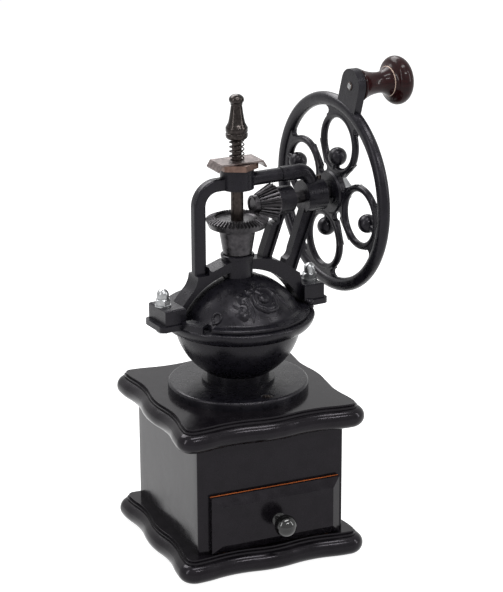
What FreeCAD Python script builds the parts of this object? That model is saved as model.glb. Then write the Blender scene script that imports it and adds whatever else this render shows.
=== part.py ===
import FreeCAD, Part
import os
from math import acos, asin, atan, atan2, cos, pi, radians, sin, sqrt, tan

# Manual coffee grinder: a wooden box with a drawer, a cast iron mill head and a crank wheel.
# Millimetres and degrees, +Z up, origin under the middle of the foot board on the spindle's axis.
# The drawer opens to -Y. The mill head is drawn with its drive shaft along +X and then turned.

os.makedirs("parts", exist_ok=True)

# Fits between pieces
runGap = 0.3          # between pieces that move past each other
shaftPlay = 0.05      # radial, of a shaft in its bore
pressPlay = 0.02      # radial, of a fixed pin in its hole

# Moulded boards of the box
boardWidth = 130.0
boardThick = 16.0
lobeRadius = 11.0     # rounding of the four corner lobes
waveDepth = 2.6       # from the crest to the hollow of the wavy edge
noseRadius = 6.6      # of the edge moulding
stepHeight = 1.6      # of each of the two small steps over the nose
stepInset = 5.0
upperStepInset = 6.3
mouldDepth = 9.0      # how far the moulding reaches into the board

# Box walls
boxWidth = 102.0
boxDepth = 107.0
boxHeight = 74.0
wallThick = 8.0
wallRound = 1.2

# Drawer
openingWidth = 83.0
drawerOffset = 2.3    # of the opening and the drawer from the middle of the box, to the right
openingHeight = 36.0
drawerPlay = 1.5      # on each side of the drawer in its opening
drawerDepth = 94.0
drawerSideThick = 5.0
drawerSideHeight = 33.4
drawerFloorThick = 3.0
drawerFloorRise = 1.5
frontWidth = 90.0
frontHeight = 39.0
frontRise = 1.0       # of the drawer front's lower edge over the foot board
frontEdge = 3.0       # thickness of the drawer front at its edge
frontBevelWidth = 6.0
frontBevelRise = 3.7
pullRadius = 7.2
pullReach = 11.0      # from the drawer front to the ball's centre
pullNeckRadius = 3.2
pullFootRadius = 4.6
pullFootHeight = 1.4
pullScrewRadius = 1.8
pullScrewHeadRadius = 4.0
pullScrewHeadHeight = 2.2

# Mill head on the box
headTurn = 6.5        # the head is screwed on turned by this about Z

# Mounting flange
flangeRadius = 46.3
flangeThick = 6.0
flangeRound = 1.8
flangeRingRadius = 24.0
flangeRingHeight = 1.8
throatRadius = 14.0
flangeScrewCircle = 38.7
screwRadius = 1.9
screwHeadRadius = 4.0
screwHeadDepth = 2.2
screwLength = 15.0

# Hopper bowl
bowlRadius = 41.7
bowlWall = 3.0
bowlRise = 43.0       # of the bowl's centre over the flange
bowlNeckRadius = 20.4
brimRise = 3.3        # of the brim's flat top over the bowl's centre
ledgeInnerRadius = 35.5
ledgeThick = 2.5
brimRadius = 50.3
brimDepth = 9.8
brimEdge = 1.4
seatRise = 2.9        # of the yoke's seat on the lugs over the brim
lugReach = 62.2
lugWidth = 25.6
lugThick = 3.7
lugRound = 4.0

# Raised ring on the rear of the brim, with a roof that the lid's flange slides under
ringOuterRadius = 49.5
ringWallInner = 47.3
ringRoofInner = 41.2
ringRise = 4.7        # of the roof over the brim
ringRoofThick = 1.8
ringStart = 17.0
ringEnd = 214.0
ringNotchHalf = 12.0  # half width of the notches for the yoke's foot blocks

# Domed covers
domeDrop = 16.5       # of the domes' centre under the bowl's centre
lidRadius = 46.0
lidWall = 2.5
coverRadius = 43.2
coverWall = 2.2
coverSpan = 192.0
lidRingRadius = 15.0
lidFlangeRadius = 46.8
lidFlangeInner = 38.9
lidFlangeThick = 2.1
lidFlangeStart = -140.0
lidFlangeEnd = -20.0
lidTabAngle = -21.5
lidTabPlace = 47.3
lidTabRadius = 3.0
lidPinRadius = 1.9
lidPinHeadRadius = 2.8
lidPinHeight = 3.6

# Yoke frame that carries the mechanism, heights over the seat
yokeDepth = 13.0
archRadius = 49.15
archRise = 0.8        # of the arch's centre over the domes' centre
archShift = -1.0      # of the arch's centre from the spindle's axis
blockHeight = 10.3
blockInner = 44.0
blockOuter = 59.0
blockWidth = 23.0
blockEdge = 0.8
footBoltPlace = 54.6
windowFloor = 31.0
collarRadius = 10.0
collarLipRadius = 11.0
collarBottom = 17.5
collarTop = 37.0
collarLipHeight = 2.5
postPlace = 28.35
postWidth = 8.2
postDepth = 7.0
postBend = 13.0       # centre line radius of the bend into the top bar
barPlace = 84.5       # of the top bar's centre
bossRadius = 11.0
bossHeight = 13.0
bossDrop = 4.0        # of the boss under the bar's centre
armRadius = 4.6
armThickRadius = 5.1
armStep = 32.0        # where the arm gets thicker
armRise = 0.5         # of the arm's centre line over the bar's
elbowRadius = 8.5
elbowPlace = 54.0

# Drive shaft and its two sleeves
shaftHeight = 67.9    # over the yoke's seat
shaftRadius = 4.1
shaftStart = 11.2
innerSleeveStart = 28.0
innerSleeveLength = 11.5
innerSleeveRadius = 8.9
outerSleeveStart = 48.5
outerSleeveLength = 14.5
outerSleeveRadius = 10.7
oilCupRadius = 1.9
oilCupHeight = 2.0
oilCupInset = 1.8     # from the outer sleeve's right end

# Struts under the sleeves
strutDepth = 7.0
strutGroove = 1.5
strutFlange = 1.9

# Foot bolts, washers and cap nuts
footBoltRadius = 2.5
footHeadWidth = 8.0
footHeadHeight = 3.5
footNutWidth = 8.6
footNutHeight = 4.0
footWasherRadius = 5.2
footWasherThick = 1.0
footDomeRadius = 3.9
footDomeRise = 2.6    # of the dome's centre over the hexagon

# Bevel gears, measured on the cone distance gearReach
crownTeeth = 50
pinionTeeth = 21
gearReach = 22.0      # outer cone distance of the crown gear
gearInner = 15.8      # cone distance of the teeth's inner ends
pinionReach = 28.9
toothAddendum = 0.65
toothDedendum = 0.85
crownRootHalf = 0.92
crownPitchHalf = 0.56
crownTipHalf = 0.26
pinionRootHalf = 0.80
pinionPitchHalf = 0.56
pinionTipHalf = 0.24
crownPlateDrop = 8.5  # of the recessed plate under the shaft's axis
crownPlateRadius = 14.1
crownSkirt = 4.6      # length of the back cone under the pitch line
crownHubTopRadius = 12.0
crownHubTopDrop = 14.4
crownHubFootRadius = 9.4
pinionHubRadius = 5.9
pinionHubStart = 10.6
pinionHubLength = 3.6

# Crank wheel
wheelPlace = 71.6     # of the rim's middle along the shaft
rimRadius = 61.75     # of the rim's centre line
rimWidth = 9.0
rimThick = 7.6
scrollRadius = 19.0
scrollBar = 2.4
scrollPlace = 35.8    # of a scroll ring's centre from the wheel's centre
scrollTurn = 104.3
scrollFillet = 2.5
ballRadius = 6.2
innerBallPlace = 26.0
outerBallPlace = 44.5
ballNeckRadius = 2.6
wheelDiscRadius = 14.5
wheelDiscThick = 6.0
webThick = 4.0
wheelBarrelRadius = 8.0
wheelBarrelStart = 68.0
wheelBarrelLength = 9.0
wheelWasherRadius = 7.0
wheelWasherThick = 1.4
wheelNutWidth = 14.0
wheelNutHeight = 5.5
shaftOverhang = 1.5   # of the shaft beyond the wheel's nut
crankLugTurn = 108.0
crankLugRadius = 10.3
crankLugPlace = 80.5  # of the lug's rounded end, its centre
crankLugFoot = 10.3   # half width of the lug at the rim
crankLugThick = 5.5
crankPlace = 79.5     # of the handle's axis from the wheel's centre

# Crank handle
handleWasherRadius = 9.0
handleWasherThick = 0.6
handleBoltRadius = 2.5
handleBoltHeadRadius = 2.9
handleBoltHead = 0.6
handleEndHead = 1.0
handleRivetRadius = 4.1
handleRivetDepth = 1.2
handleFootRadius = 10.4
handleFootPlace = 1.2
handleNeckRadius = 6.8
handleNeckPlace = 15.0
handleJoinRadius = 12.8   # where the neck's hollow meets the head
handleJoinPlace = 24.0
handleBulgeRadius = 15.8
handleBulgePlace = 28.5
handleNoseRadius = 7.5
handleLength = 35.0

# Spindle and burrs
spindleRadius = 4.1
spindleTipRadius = 3.2
spindleFoot = 2.0     # depth of the spindle's foot under the flange's underside
keyWidth = 2.4
keyDepth = 1.2
innerBurrTopRadius = 7.0
innerBurrFootRadius = 12.5
innerBurrHeight = 16.0
innerBurrDrop = 2.0   # of the inner burr's foot under the top of the flange
innerBurrFlutes = 8
outerBurrRadius = 16.1
outerBurrHeight = 10.0
outerBurrFootRadius = 13.4
outerBurrTopRadius = 13.9
outerBurrFlutes = 16
fluteWidth = 2.0
fluteDepth = 1.1
fluteSkew = 24.0

# Adjusting nut, lock plate, spring and finial
nutWidth = 24.0
nutHeight = 3.9
plateLength = 28.2
plateWidth = 18.0
plateThick = 1.0
plateWing = 4.8
plateWingDrop = 58.0  # how far the wings are bent down
plateTurn = -4.0      # of the plate's length from the shaft's direction
springRadius = 4.6    # of the wire's centre line
springWire = 1.0
springTurns = 5.5
springBend = 1.05     # radius of the bend into each straight end
springHeight = 13.2
finialRise = 10.8     # of the finial's lower edge over the lock plate
finialPocketRadius = 5.7
finialBandRadius = 6.6
finialGroove = 0.5
finialShoulderRadius = 6.8
finialBandHeight = 7.5
finialConeHeight = 10.0
finialNeckRadius = 3.4
finialBallRadius = 4.6
finialBallRise = 5.5  # of the ball's centre over the cone's top
finialStub = 4.5      # how deep the spindle's tip reaches past the cone's top, downwards

# Heights that follow from the sizes above
boxTop = boardThick + boxHeight
deck = boxTop + boardThick
flangeTop = deck + flangeThick
bowlCentre = flangeTop + bowlRise
brimTop = bowlCentre + brimRise
seat = brimTop + seatRise
domeCentre = bowlCentre - domeDrop
archCentre = domeCentre + archRise
shaftZ = seat + shaftHeight
barZ = seat + barPlace
bossBottom = barZ - bossDrop
bossTop = bossBottom + bossHeight
nutBottom = bossTop + runGap
nutTop = nutBottom + nutHeight
plateBottom = nutTop + runGap
plateTop = plateBottom + plateThick
finialBottom = plateTop + finialRise


def point(x, y, z=0.0):
    return FreeCAD.Vector(x, y, z)


origin = point(0, 0, 0)
xAxis = point(1, 0, 0)
yAxis = point(0, 1, 0)
zAxis = point(0, 0, 1)
shaftAxis = point(0, 0, shaftZ)


def outline(steps, place):
    # Closed wire. A step is a corner, or an arc given by its middle point and its end.
    edges = []
    here = place(*steps[0])
    for step in steps[1:] + steps[:1]:
        if isinstance(step[0], tuple):
            end = place(*step[1])
            edges.append(Part.Arc(here, place(*step[0]), end).toShape())
        else:
            end = place(*step)
            if end.distanceToPoint(here) > 1e-6:
                edges.append(Part.LineSegment(here, end).toShape())
        here = end
    return Part.Wire(edges)


def inXY(height):
    return lambda x, y: point(x, y, height)


def inXZ(y):
    return lambda x, z: point(x, y, z)


def plate(steps, bottom, top):
    return Part.Face(outline(steps, inXY(bottom))).extrude(point(0, 0, top - bottom))


def slab(steps, front, back):
    return Part.Face(outline(steps, inXZ(front))).extrude(point(0, back - front, 0))


def turned(steps, angle=360.0, start=0.0):
    # Solid of revolution about the Z axis from a profile of radius and height.
    shape = Part.Face(outline(steps, inXZ(0))).revolve(origin, zAxis, angle)
    shape.rotate(origin, zAxis, start)
    return shape


def turnedOnShaft(steps):
    # Solid of revolution about the drive shaft from a profile of place along X and radius.
    face = Part.Face(outline(steps, lambda x, r: point(x, 0, shaftZ + r)))
    return face.revolve(shaftAxis, xAxis, 360)


def box(x0, x1, y0, y1, z0, z1):
    return Part.makeBox(x1 - x0, y1 - y0, z1 - z0, point(x0, y0, z0))


def rod(radius, start, direction, length):
    return Part.makeCylinder(radius, length, start, direction)


def hexagon(width, start, direction, height, turn=0.0):
    corner = width / sqrt(3)
    turns = [radians(60 * k + turn) for k in range(6)]
    corners = [(corner * cos(angle), corner * sin(angle)) for angle in turns]
    shape = plate(corners, 0, height)
    shape.Placement = FreeCAD.Placement(start, FreeCAD.Rotation(zAxis, direction))
    return shape


def joined(first, others):
    return first.multiFuse(others).removeSplitter()


def onCircle(radius, angle, centre=(0.0, 0.0)):
    return (centre[0] + radius * cos(radians(angle)), centre[1] + radius * sin(radians(angle)))


def asGroup(shapes):
    return Part.makeCompound(shapes)


nodes = {}       # pieces of the box
headNodes = {}   # pieces of the mill head, before it is turned on the box


# Wavy outline of a board, inset from its edge: bulge, hollows and corner lobes as arcs that share tangents

def boardOutline(inset, height):
    reach = boardWidth / 2
    quarter = (reach - lobeRadius) / 4
    sag = waveDepth / 2
    wave = (quarter ** 2 + sag ** 2) / (2 * sag)
    lean = quarter / wave
    low = reach - sag - inset * (wave - sag) / wave
    half = asin(lean) / 2
    crest = (4 * quarter - (wave - inset) * sin(half), reach - wave + (wave - inset) * cos(half))
    hollow = (2 * quarter, reach - 2 * sag - inset)
    innerEnd = (quarter - inset * lean, low)
    outerEnd = (3 * quarter + inset * lean, low)
    side = [
        ((-crest[0], crest[1]), (-outerEnd[0], low)),
        ((-hollow[0], hollow[1]), (-innerEnd[0], low)),
        ((0, reach - inset), innerEnd),
        (hollow, outerEnd),
        (crest, (4 * quarter, reach - inset)),
        (onCircle(lobeRadius - inset, 45, (4 * quarter, 4 * quarter)), (reach - inset, 4 * quarter)),
    ]
    steps = [(-4 * quarter, reach - inset)]
    for turn in range(4):
        c, s = [(1, 0), (0, -1), (-1, 0), (0, 1)][turn]
        for pair in side:
            steps.append(tuple((c * x - s * y, s * x + c * y) for x, y in pair))
    return outline(steps, inXY(height))


def mouldedBoard(bottom):
    # The edge moulding is swept round the wavy outline and joined to a flat core.
    reach = boardWidth / 2
    start = -(reach - lobeRadius)
    noseTop = boardThick - 2 * stepHeight
    noseEnd = noseRadius - sqrt(max(noseRadius ** 2 - (noseTop - noseRadius) ** 2, 0))
    profile = [
        (mouldDepth, 0),
        (noseRadius, 0),
        ((0, noseRadius), (noseEnd, noseTop)),
        (stepInset, noseTop),
        (stepInset, noseTop + stepHeight),
        (upperStepInset, noseTop + stepHeight),
        (upperStepInset, boardThick),
        (mouldDepth, boardThick),
    ]
    sweep = Part.BRepOffsetAPI.MakePipeShell(boardOutline(0, bottom))
    sweep.setBiNormalMode(zAxis)
    sweep.add(outline(profile, lambda inset, z: point(start, reach - inset, bottom + z)))
    sweep.build()
    sweep.makeSolid()
    core = Part.Face(boardOutline(mouldDepth - 1, bottom)).extrude(point(0, 0, boardThick))
    return sweep.shape().fuse(core).removeSplitter()


def onHead(shape):
    moved = shape.copy()
    moved.rotate(origin, zAxis, headTurn)
    return moved


# Wooden box: two moulded boards and four walls between them

def screwPlaces():
    return [point(0, side * flangeScrewCircle, flangeTop) for side in (-1, 1)]


def flangeScrew(place):
    profile = [
        (0, -screwLength),
        (screwRadius * 0.5, -screwLength),
        (screwRadius, 2.5 - screwLength),
        (screwRadius, -screwHeadDepth),
        (screwHeadRadius, 0),
        (0, 0),
    ]
    shape = turned(profile)
    shape.translate(place)
    return shape


def flangeScrewHole(place, clearance):
    depth = screwLength + clearance
    bore = rod(screwRadius + clearance, place - point(0, 0, depth), zAxis, depth)
    sink = Part.makeCone(screwRadius + clearance, screwHeadRadius + clearance, screwHeadDepth,
                         place - point(0, 0, screwHeadDepth), zAxis)
    return bore.fuse(sink)


nodes["foot_board"] = mouldedBoard(0)
topBoard = mouldedBoard(boxTop).cut(rod(throatRadius, point(0, 0, boxTop), zAxis, boardThick))
for place in screwPlaces():
    topBoard = topBoard.cut(onHead(flangeScrewHole(place, pressPlay)))
nodes["top_board"] = topBoard


def crossWall(front, back, outer):
    # Wall across the full width. Its two outer upright corners are rounded.
    halfWidth = boxWidth / 2
    inner = back if outer == front else front
    turnIn = wallRound if inner > outer else -wallRound
    soft = wallRound * (1 - sqrt(0.5))
    softIn = soft if inner > outer else -soft
    steps = [
        (-halfWidth, inner),
        (-halfWidth, outer + turnIn),
        ((-halfWidth + soft, outer + softIn), (-halfWidth + wallRound, outer)),
        (halfWidth - wallRound, outer),
        ((halfWidth - soft, outer + softIn), (halfWidth, outer + turnIn)),
        (halfWidth, inner),
    ]
    return plate(steps, boardThick, boxTop)


halfDepth = boxDepth / 2
openingTop = boardThick + openingHeight
frontWall = crossWall(-halfDepth, wallThick - halfDepth, -halfDepth)
frontOpening = box(drawerOffset - openingWidth / 2, drawerOffset + openingWidth / 2,
                   -halfDepth - 1, wallThick - halfDepth + 1, boardThick - 1, openingTop)
nodes["front_panel"] = frontWall.cut(frontOpening)
nodes["back_panel"] = crossWall(halfDepth - wallThick, halfDepth, halfDepth)
for name, side in (("left_panel", -1), ("right_panel", 1)):
    edges = sorted((side * boxWidth / 2, side * (boxWidth / 2 - wallThick)))
    nodes[name] = box(edges[0], edges[1], wallThick - halfDepth, halfDepth - wallThick, boardThick, boxTop)


# Drawer: bevelled front with a ball pull, two sides, a back and a floor between them

frontBack = -halfDepth - runGap
frontFace = frontBack - frontEdge - frontBevelRise
frontBottom = boardThick + frontRise
frontTop = frontBottom + frontHeight
pullPlace = point(drawerOffset, frontFace, (frontBottom + frontTop) / 2 - 1.5)


def frontRim(inset, y):
    half = frontWidth / 2 - inset
    left = drawerOffset - half
    right = drawerOffset + half
    corners = [(left, frontBottom + inset), (right, frontBottom + inset),
               (right, frontTop - inset), (left, frontTop - inset)]
    return outline(corners, inXZ(y))


bevelled = Part.makeLoft([frontRim(0, frontBack - frontEdge), frontRim(frontBevelWidth, frontFace)],
                         True, True)
edgeSlab = Part.Face(frontRim(0, frontBack)).extrude(point(0, -frontEdge, 0))
screwPath = rod(pullScrewRadius + pressPlay, point(pullPlace.x, frontBack + 1, pullPlace.z), -yAxis,
                frontEdge + frontBevelRise + 2)
nodes["drawer_front"] = edgeSlab.fuse(bevelled).removeSplitter().cut(screwPath)

drawerHalf = openingWidth / 2 - drawerPlay
drawerBottom = boardThick + runGap
drawerTop = drawerBottom + drawerSideHeight
drawerRear = frontBack + drawerDepth
for name, side in (("drawer_left_side", -1), ("drawer_right_side", 1)):
    edges = sorted((drawerOffset + side * drawerHalf, drawerOffset + side * (drawerHalf - drawerSideThick)))
    nodes[name] = box(edges[0], edges[1], frontBack, drawerRear, drawerBottom, drawerTop)
drawerInnerLeft = drawerOffset - drawerHalf + drawerSideThick
drawerInnerRight = drawerOffset + drawerHalf - drawerSideThick
floorTop = drawerBottom + drawerFloorRise + drawerFloorThick
nodes["drawer_back"] = box(drawerInnerLeft, drawerInnerRight, drawerRear - drawerSideThick, drawerRear,
                           drawerBottom, drawerTop)
nodes["drawer_bottom"] = box(drawerInnerLeft, drawerInnerRight, frontBack, drawerRear - drawerSideThick,
                             drawerBottom + drawerFloorRise, floorTop)


def turnedOnPull(steps):
    # Solid of revolution about the pull's axis from a profile of reach and radius.
    face = Part.Face(outline(steps, lambda reach, r: pullPlace + point(r, -reach, 0)))
    return face.revolve(pullPlace, yAxis, 360)


pullScrewDepth = pullReach
neckMeets = pullReach - sqrt(pullRadius ** 2 - pullNeckRadius ** 2)
pullHole = pullScrewRadius + pressPlay
pullProfile = [
    (0, pullHole),
    (0, pullFootRadius),
    (pullFootHeight * 0.5, pullFootRadius),
    (pullFootHeight, pullNeckRadius),
    (neckMeets, pullNeckRadius),
    ((pullReach, pullRadius), (pullReach + pullRadius, 0)),
    (pullScrewDepth, 0),
    (pullScrewDepth, pullHole),
]
nodes["drawer_knob"] = turnedOnPull(pullProfile)
pullScrewStart = frontFace - frontBack
pullScrewProfile = [
    (pullScrewDepth - pressPlay, 0),
    (pullScrewDepth - pressPlay, pullScrewRadius),
    (pullScrewStart, pullScrewRadius),
    (pullScrewStart, pullScrewHeadRadius),
    (pullScrewStart - pullScrewHeadHeight * 0.5, pullScrewHeadRadius),
    (pullScrewStart - pullScrewHeadHeight, pullScrewHeadRadius * 0.6),
    (pullScrewStart - pullScrewHeadHeight, 0),
]
nodes["drawer_knob_screw"] = turnedOnPull(pullScrewProfile)


# Mounting flange with its ring, throat and two countersunk screws

flangeSoft = flangeRound * (1 - sqrt(0.5))
flangeProfile = [
    (throatRadius, deck),
    (flangeRadius, deck),
    (flangeRadius, flangeTop - flangeRound),
    ((flangeRadius - flangeSoft, flangeTop - flangeSoft), (flangeRadius - flangeRound, flangeTop)),
    (flangeRingRadius, flangeTop),
    (flangeRingRadius, flangeTop + flangeRingHeight),
    (bowlNeckRadius, flangeTop + flangeRingHeight),
    (bowlNeckRadius, flangeTop),
    (throatRadius, flangeTop),
]
flange = turned(flangeProfile)
for place in screwPlaces():
    flange = flange.cut(flangeScrewHole(place, pressPlay))
headNodes["mounting_flange"] = flange
headNodes["flange_screws"] = asGroup([flangeScrew(place) for place in screwPlaces()])


# Hopper bowl: neck, hemisphere, brim, two lugs for the yoke and a raised ring round the rear.
# It is one casting, held as two nodes so that collision leaves the bowl open: the bowl up to
# the brim's underside, and the rim above.

burrSeatRadius = outerBurrRadius + shaftPlay
bowlInner = bowlRadius - bowlWall
brimBottom = brimTop - brimDepth
brimFootRadius = sqrt(bowlRadius ** 2 - (bowlCentre - brimBottom) ** 2)
neckTop = bowlCentre - sqrt(bowlRadius ** 2 - bowlNeckRadius ** 2)
burrSeatTop = bowlCentre - sqrt(bowlInner ** 2 - burrSeatRadius ** 2)
innerStart = bowlCentre - 1.5
innerStartRadius = sqrt(bowlInner ** 2 - (bowlCentre - innerStart) ** 2)


def sphereMiddle(radius, centre, first, second):
    # Middle point of the arc between two profile points on a sphere.
    a = atan2(first[1] - centre, first[0])
    b = atan2(second[1] - centre, second[0])
    return (radius * cos((a + b) / 2), centre + radius * sin((a + b) / 2))


neckPoint = (bowlNeckRadius, neckTop)
brimFoot = (brimFootRadius, brimBottom)
seatPoint = (burrSeatRadius, burrSeatTop)
innerPoint = (innerStartRadius, innerStart)
bowlProfile = [
    (burrSeatRadius, flangeTop),
    (bowlNeckRadius, flangeTop),
    neckPoint,
    (sphereMiddle(bowlRadius, bowlCentre, neckPoint, brimFoot), brimFoot),
    ((brimRadius - 2.7, brimBottom + 3.1), (brimRadius, brimTop - brimEdge)),
    ((brimRadius - 0.4, brimTop - 0.4), (brimRadius - brimEdge, brimTop)),
    (ledgeInnerRadius, brimTop),
    (ledgeInnerRadius, brimTop - ledgeThick),
    innerPoint,
    (sphereMiddle(bowlInner, bowlCentre, innerPoint, seatPoint), seatPoint),
]
bowl = turned(bowlProfile)
lidRoom = rod(ringWallInner, point(0, 0, brimTop), zAxis, seatRise + 1)
lugs = []
for side in (-1, 1):
    inner = side * (ringWallInner - 6)
    outer = side * lugReach
    soft = lugRound * (1 - sqrt(0.5))
    halfLug = lugWidth / 2
    steps = [
        (inner, -halfLug),
        (outer - side * lugRound, -halfLug),
        ((outer - side * soft, soft - halfLug), (outer, lugRound - halfLug)),
        (outer, halfLug - lugRound),
        ((outer - side * soft, halfLug - soft), (outer - side * lugRound, halfLug)),
        (inner, halfLug),
    ]
    lugs.append(plate(steps, seat - lugThick, seat).cut(lidRoom))

roofTop = brimTop + ringRise
roofBottom = roofTop - ringRoofThick
ringProfile = [
    (ringWallInner, brimTop - 1),
    (ringOuterRadius, brimTop - 1),
    (ringOuterRadius, roofTop - 0.8),
    (ringOuterRadius - 0.8, roofTop),
    (ringRoofInner + 0.5, roofTop),
    (ringRoofInner, roofTop - 0.5),
    (ringRoofInner, roofBottom),
    (ringWallInner, roofBottom),
]
ring = turned(ringProfile, ringEnd - ringStart, ringStart)
for side in (-1, 1):
    edges = sorted((side * (ringRoofInner - 3), side * lugReach))
    ring = ring.cut(box(edges[0], edges[1], -ringNotchHalf, ringNotchHalf, seat, roofTop + 1))
bowl = joined(bowl, lugs + [ring])
for side in (-1, 1):
    bowl = bowl.cut(rod(footBoltRadius + pressPlay, point(side * footBoltPlace, 0, seat - lugThick - 1),
                        zAxis, lugThick + 2))
rimRoom = box(-lugReach - 1, lugReach + 1, -lugReach - 1, lugReach + 1, brimBottom, roofTop + 1)
headNodes["hopper_bowl"] = bowl.cut(rimRoom)
headNodes["bowl_rim"] = bowl.common(rimRoom)


# Domed covers: a fixed one behind and a lid that swings over it about the collar

def domeProfile(radius, wall, foot, holeRadius, endRadius):
    # Section of a dome between a hole or ring radius and its foot, or a smaller end radius.
    inner = radius - wall
    rise = foot - domeCentre
    outerFoot = (sqrt(radius ** 2 - rise ** 2), foot)
    innerFoot = (sqrt(inner ** 2 - rise ** 2), foot)
    if endRadius:
        outerFoot = (endRadius, domeCentre + sqrt(radius ** 2 - endRadius ** 2))
        innerFoot = (endRadius, domeCentre + sqrt(inner ** 2 - endRadius ** 2))
    outerTop = (holeRadius, domeCentre + sqrt(radius ** 2 - holeRadius ** 2))
    innerTop = (holeRadius, domeCentre + sqrt(inner ** 2 - holeRadius ** 2))
    return [
        outerFoot,
        (sphereMiddle(radius, domeCentre, outerFoot, outerTop), outerTop),
        innerTop,
        (sphereMiddle(inner, domeCentre, innerTop, innerFoot), innerFoot),
    ]


collarHole = collarRadius + runGap + 0.1
headNodes["rear_cover"] = turned(domeProfile(coverRadius, coverWall, brimTop, collarHole, 0),
                                 coverSpan, (180 - coverSpan) / 2)

lidFoot = brimTop + runGap + 0.1
flangeTopZ = lidFoot + lidFlangeThick
lidDome = turned(domeProfile(lidRadius, lidWall, lidFoot, collarHole, 0), 180, -180)
lidRing = turned(domeProfile(lidRadius, lidWall, lidFoot, collarHole, lidRingRadius))
creaseTop = flangeTopZ + 1.6
creaseRadius = sqrt(lidRadius ** 2 - (creaseTop - domeCentre) ** 2)
flangeSection = [
    (lidFlangeInner, lidFoot),
    (lidFlangeRadius, lidFoot),
    (lidFlangeRadius, flangeTopZ - 0.5),
    (lidFlangeRadius - 0.5, flangeTopZ),
    (creaseRadius + 2.6, flangeTopZ),
    ((creaseRadius + 0.9, flangeTopZ + 0.6), (creaseRadius, creaseTop)),
    (lidFlangeInner, creaseTop),
]
lidFlange = turned(flangeSection, lidFlangeEnd - lidFlangeStart, lidFlangeStart)
tabPlace = point(*onCircle(lidTabPlace, lidTabAngle), lidFoot)
lidTab = rod(lidTabRadius, tabPlace, zAxis, lidFlangeThick)
headNodes["hopper_lid"] = joined(lidDome, [lidRing, lidFlange, lidTab])

pinTop = flangeTopZ + lidPinHeight
pinProfile = [
    (0, flangeTopZ),
    (lidPinRadius, flangeTopZ),
    (lidPinRadius, flangeTopZ + lidPinHeight * 0.3),
    (lidPinHeadRadius, flangeTopZ + lidPinHeight * 0.5),
    ((lidPinHeadRadius * 0.86, pinTop - lidPinHeight * 0.15), (lidPinHeadRadius * 0.4, pinTop)),
    (0, pinTop),
]
lidPin = turned(pinProfile)
lidPin.translate(point(tabPlace.x, tabPlace.y, 0))
headNodes["lid_knob"] = lidPin


# Yoke frame, one casting: arch with foot blocks, collar, post, top bar, boss, arm, sleeves and struts

blockTop = seat + blockHeight
floorZ = seat + windowFloor
archHalf = sqrt(archRadius ** 2 - (seat - archCentre) ** 2)
postOut = postPlace + postWidth / 2
postIn = postPlace - postWidth / 2
archSteps = [
    (-blockInner - 4, seat),
    (-blockInner - 4, blockTop - 1),
    (-blockInner, blockTop - 1),
    (-blockInner + 3.0, blockTop + 2.6),
    (-blockInner + 6.6, blockTop + 6.5),
    ((-postOut - 1.7, blockTop + 10.6), (-postOut, blockTop + 17)),
    (-postIn, blockTop + 17),
    (-postIn, floorZ + 1.4),
    ((-postIn + 0.83, floorZ - 0.68), (-postIn + 2.85, floorZ - 1.65)),
    (-collarRadius, floorZ + 2.1),
    (collarRadius, floorZ + 2.1),
    (21.5, floorZ + 0.3),
    ((31.8, floorZ - 4.3), (40.5, floorZ - 10.7)),
    (43.6, floorZ - 12.7),
    (blockInner + 1, blockTop - 1),
    (blockInner + 4, blockTop - 1),
    (blockInner + 4, seat),
    (archShift + archHalf, seat),
    ((archShift, archCentre + archRadius), (archShift - archHalf, seat)),
]
arch = slab(archSteps, -yokeDepth / 2, yokeDepth / 2)
blocks = []
for side in (-1, 1):
    edges = sorted((side * blockInner, side * blockOuter))
    block = box(edges[0], edges[1], -blockWidth / 2, blockWidth / 2, seat, blockTop)
    topEdges = [edge for edge in block.Edges if all(abs(v.Z - blockTop) < 1e-6 for v in edge.Vertexes)]
    blocks.append(block.makeChamfer(blockEdge, topEdges))
collarProfile = [
    (0, seat + collarBottom),
    (collarRadius, seat + collarBottom),
    (collarRadius, seat + collarTop - collarLipHeight),
    (collarLipRadius, seat + collarTop - collarLipHeight + 0.4),
    (collarLipRadius, seat + collarTop - 0.6),
    (collarLipRadius - 0.6, seat + collarTop),
    (0, seat + collarTop),
]
collar = turned(collarProfile)


def softBar(width, depth, soft, place):
    # Closed section of a bar with rounded edges.
    w = width / 2
    d = depth / 2
    k = soft * (1 - sqrt(0.5))
    steps = [
        (soft - w, -d),
        (w - soft, -d),
        ((w - k, k - d), (w, soft - d)),
        (w, d - soft),
        ((w - k, d - k), (w - soft, d)),
        (soft - w, d),
        ((k - w, d - k), (-w, d - soft)),
        (-w, soft - d),
        ((k - w, k - d), (soft - w, -d)),
    ]
    return Part.Face(outline(steps, place))


bendZ = barZ - postBend
bendX = -postPlace + postBend
postFace = softBar(postWidth, postDepth, 1.6, lambda u, v: point(u - postPlace, v, floorZ - 4))
post = postFace.extrude(point(0, 0, bendZ - floorZ + 4))
bendFace = softBar(postWidth, postDepth, 1.6, lambda u, v: point(u - postPlace, v, bendZ))
bend = bendFace.revolve(point(bendX, 0, bendZ), yAxis, 90)
barFace = softBar(postWidth, postDepth, 1.6, lambda u, v: point(bendX, v, barZ - u))
bar = barFace.extrude(point(-bendX - 5, 0, 0))
boss = rod(bossRadius, point(0, 0, bossBottom), zAxis, bossHeight)

elbowX = elbowPlace - elbowRadius
armZ = barZ + armRise
elbowFace = Part.Face(Part.Wire(Part.makeCircle(armThickRadius, point(elbowX, 0, armZ), xAxis)))
sleeveMeets = shaftZ + outerSleeveRadius * 0.6
arms = [
    rod(armRadius, point(5, 0, armZ), xAxis, armStep - 5),
    rod(armThickRadius, point(armStep, 0, armZ), xAxis, elbowX - armStep),
    elbowFace.revolve(point(elbowX, 0, armZ - elbowRadius), yAxis, 90),
    rod(armThickRadius, point(elbowPlace, 0, sleeveMeets), zAxis, armZ - elbowRadius - sleeveMeets),
]

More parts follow.
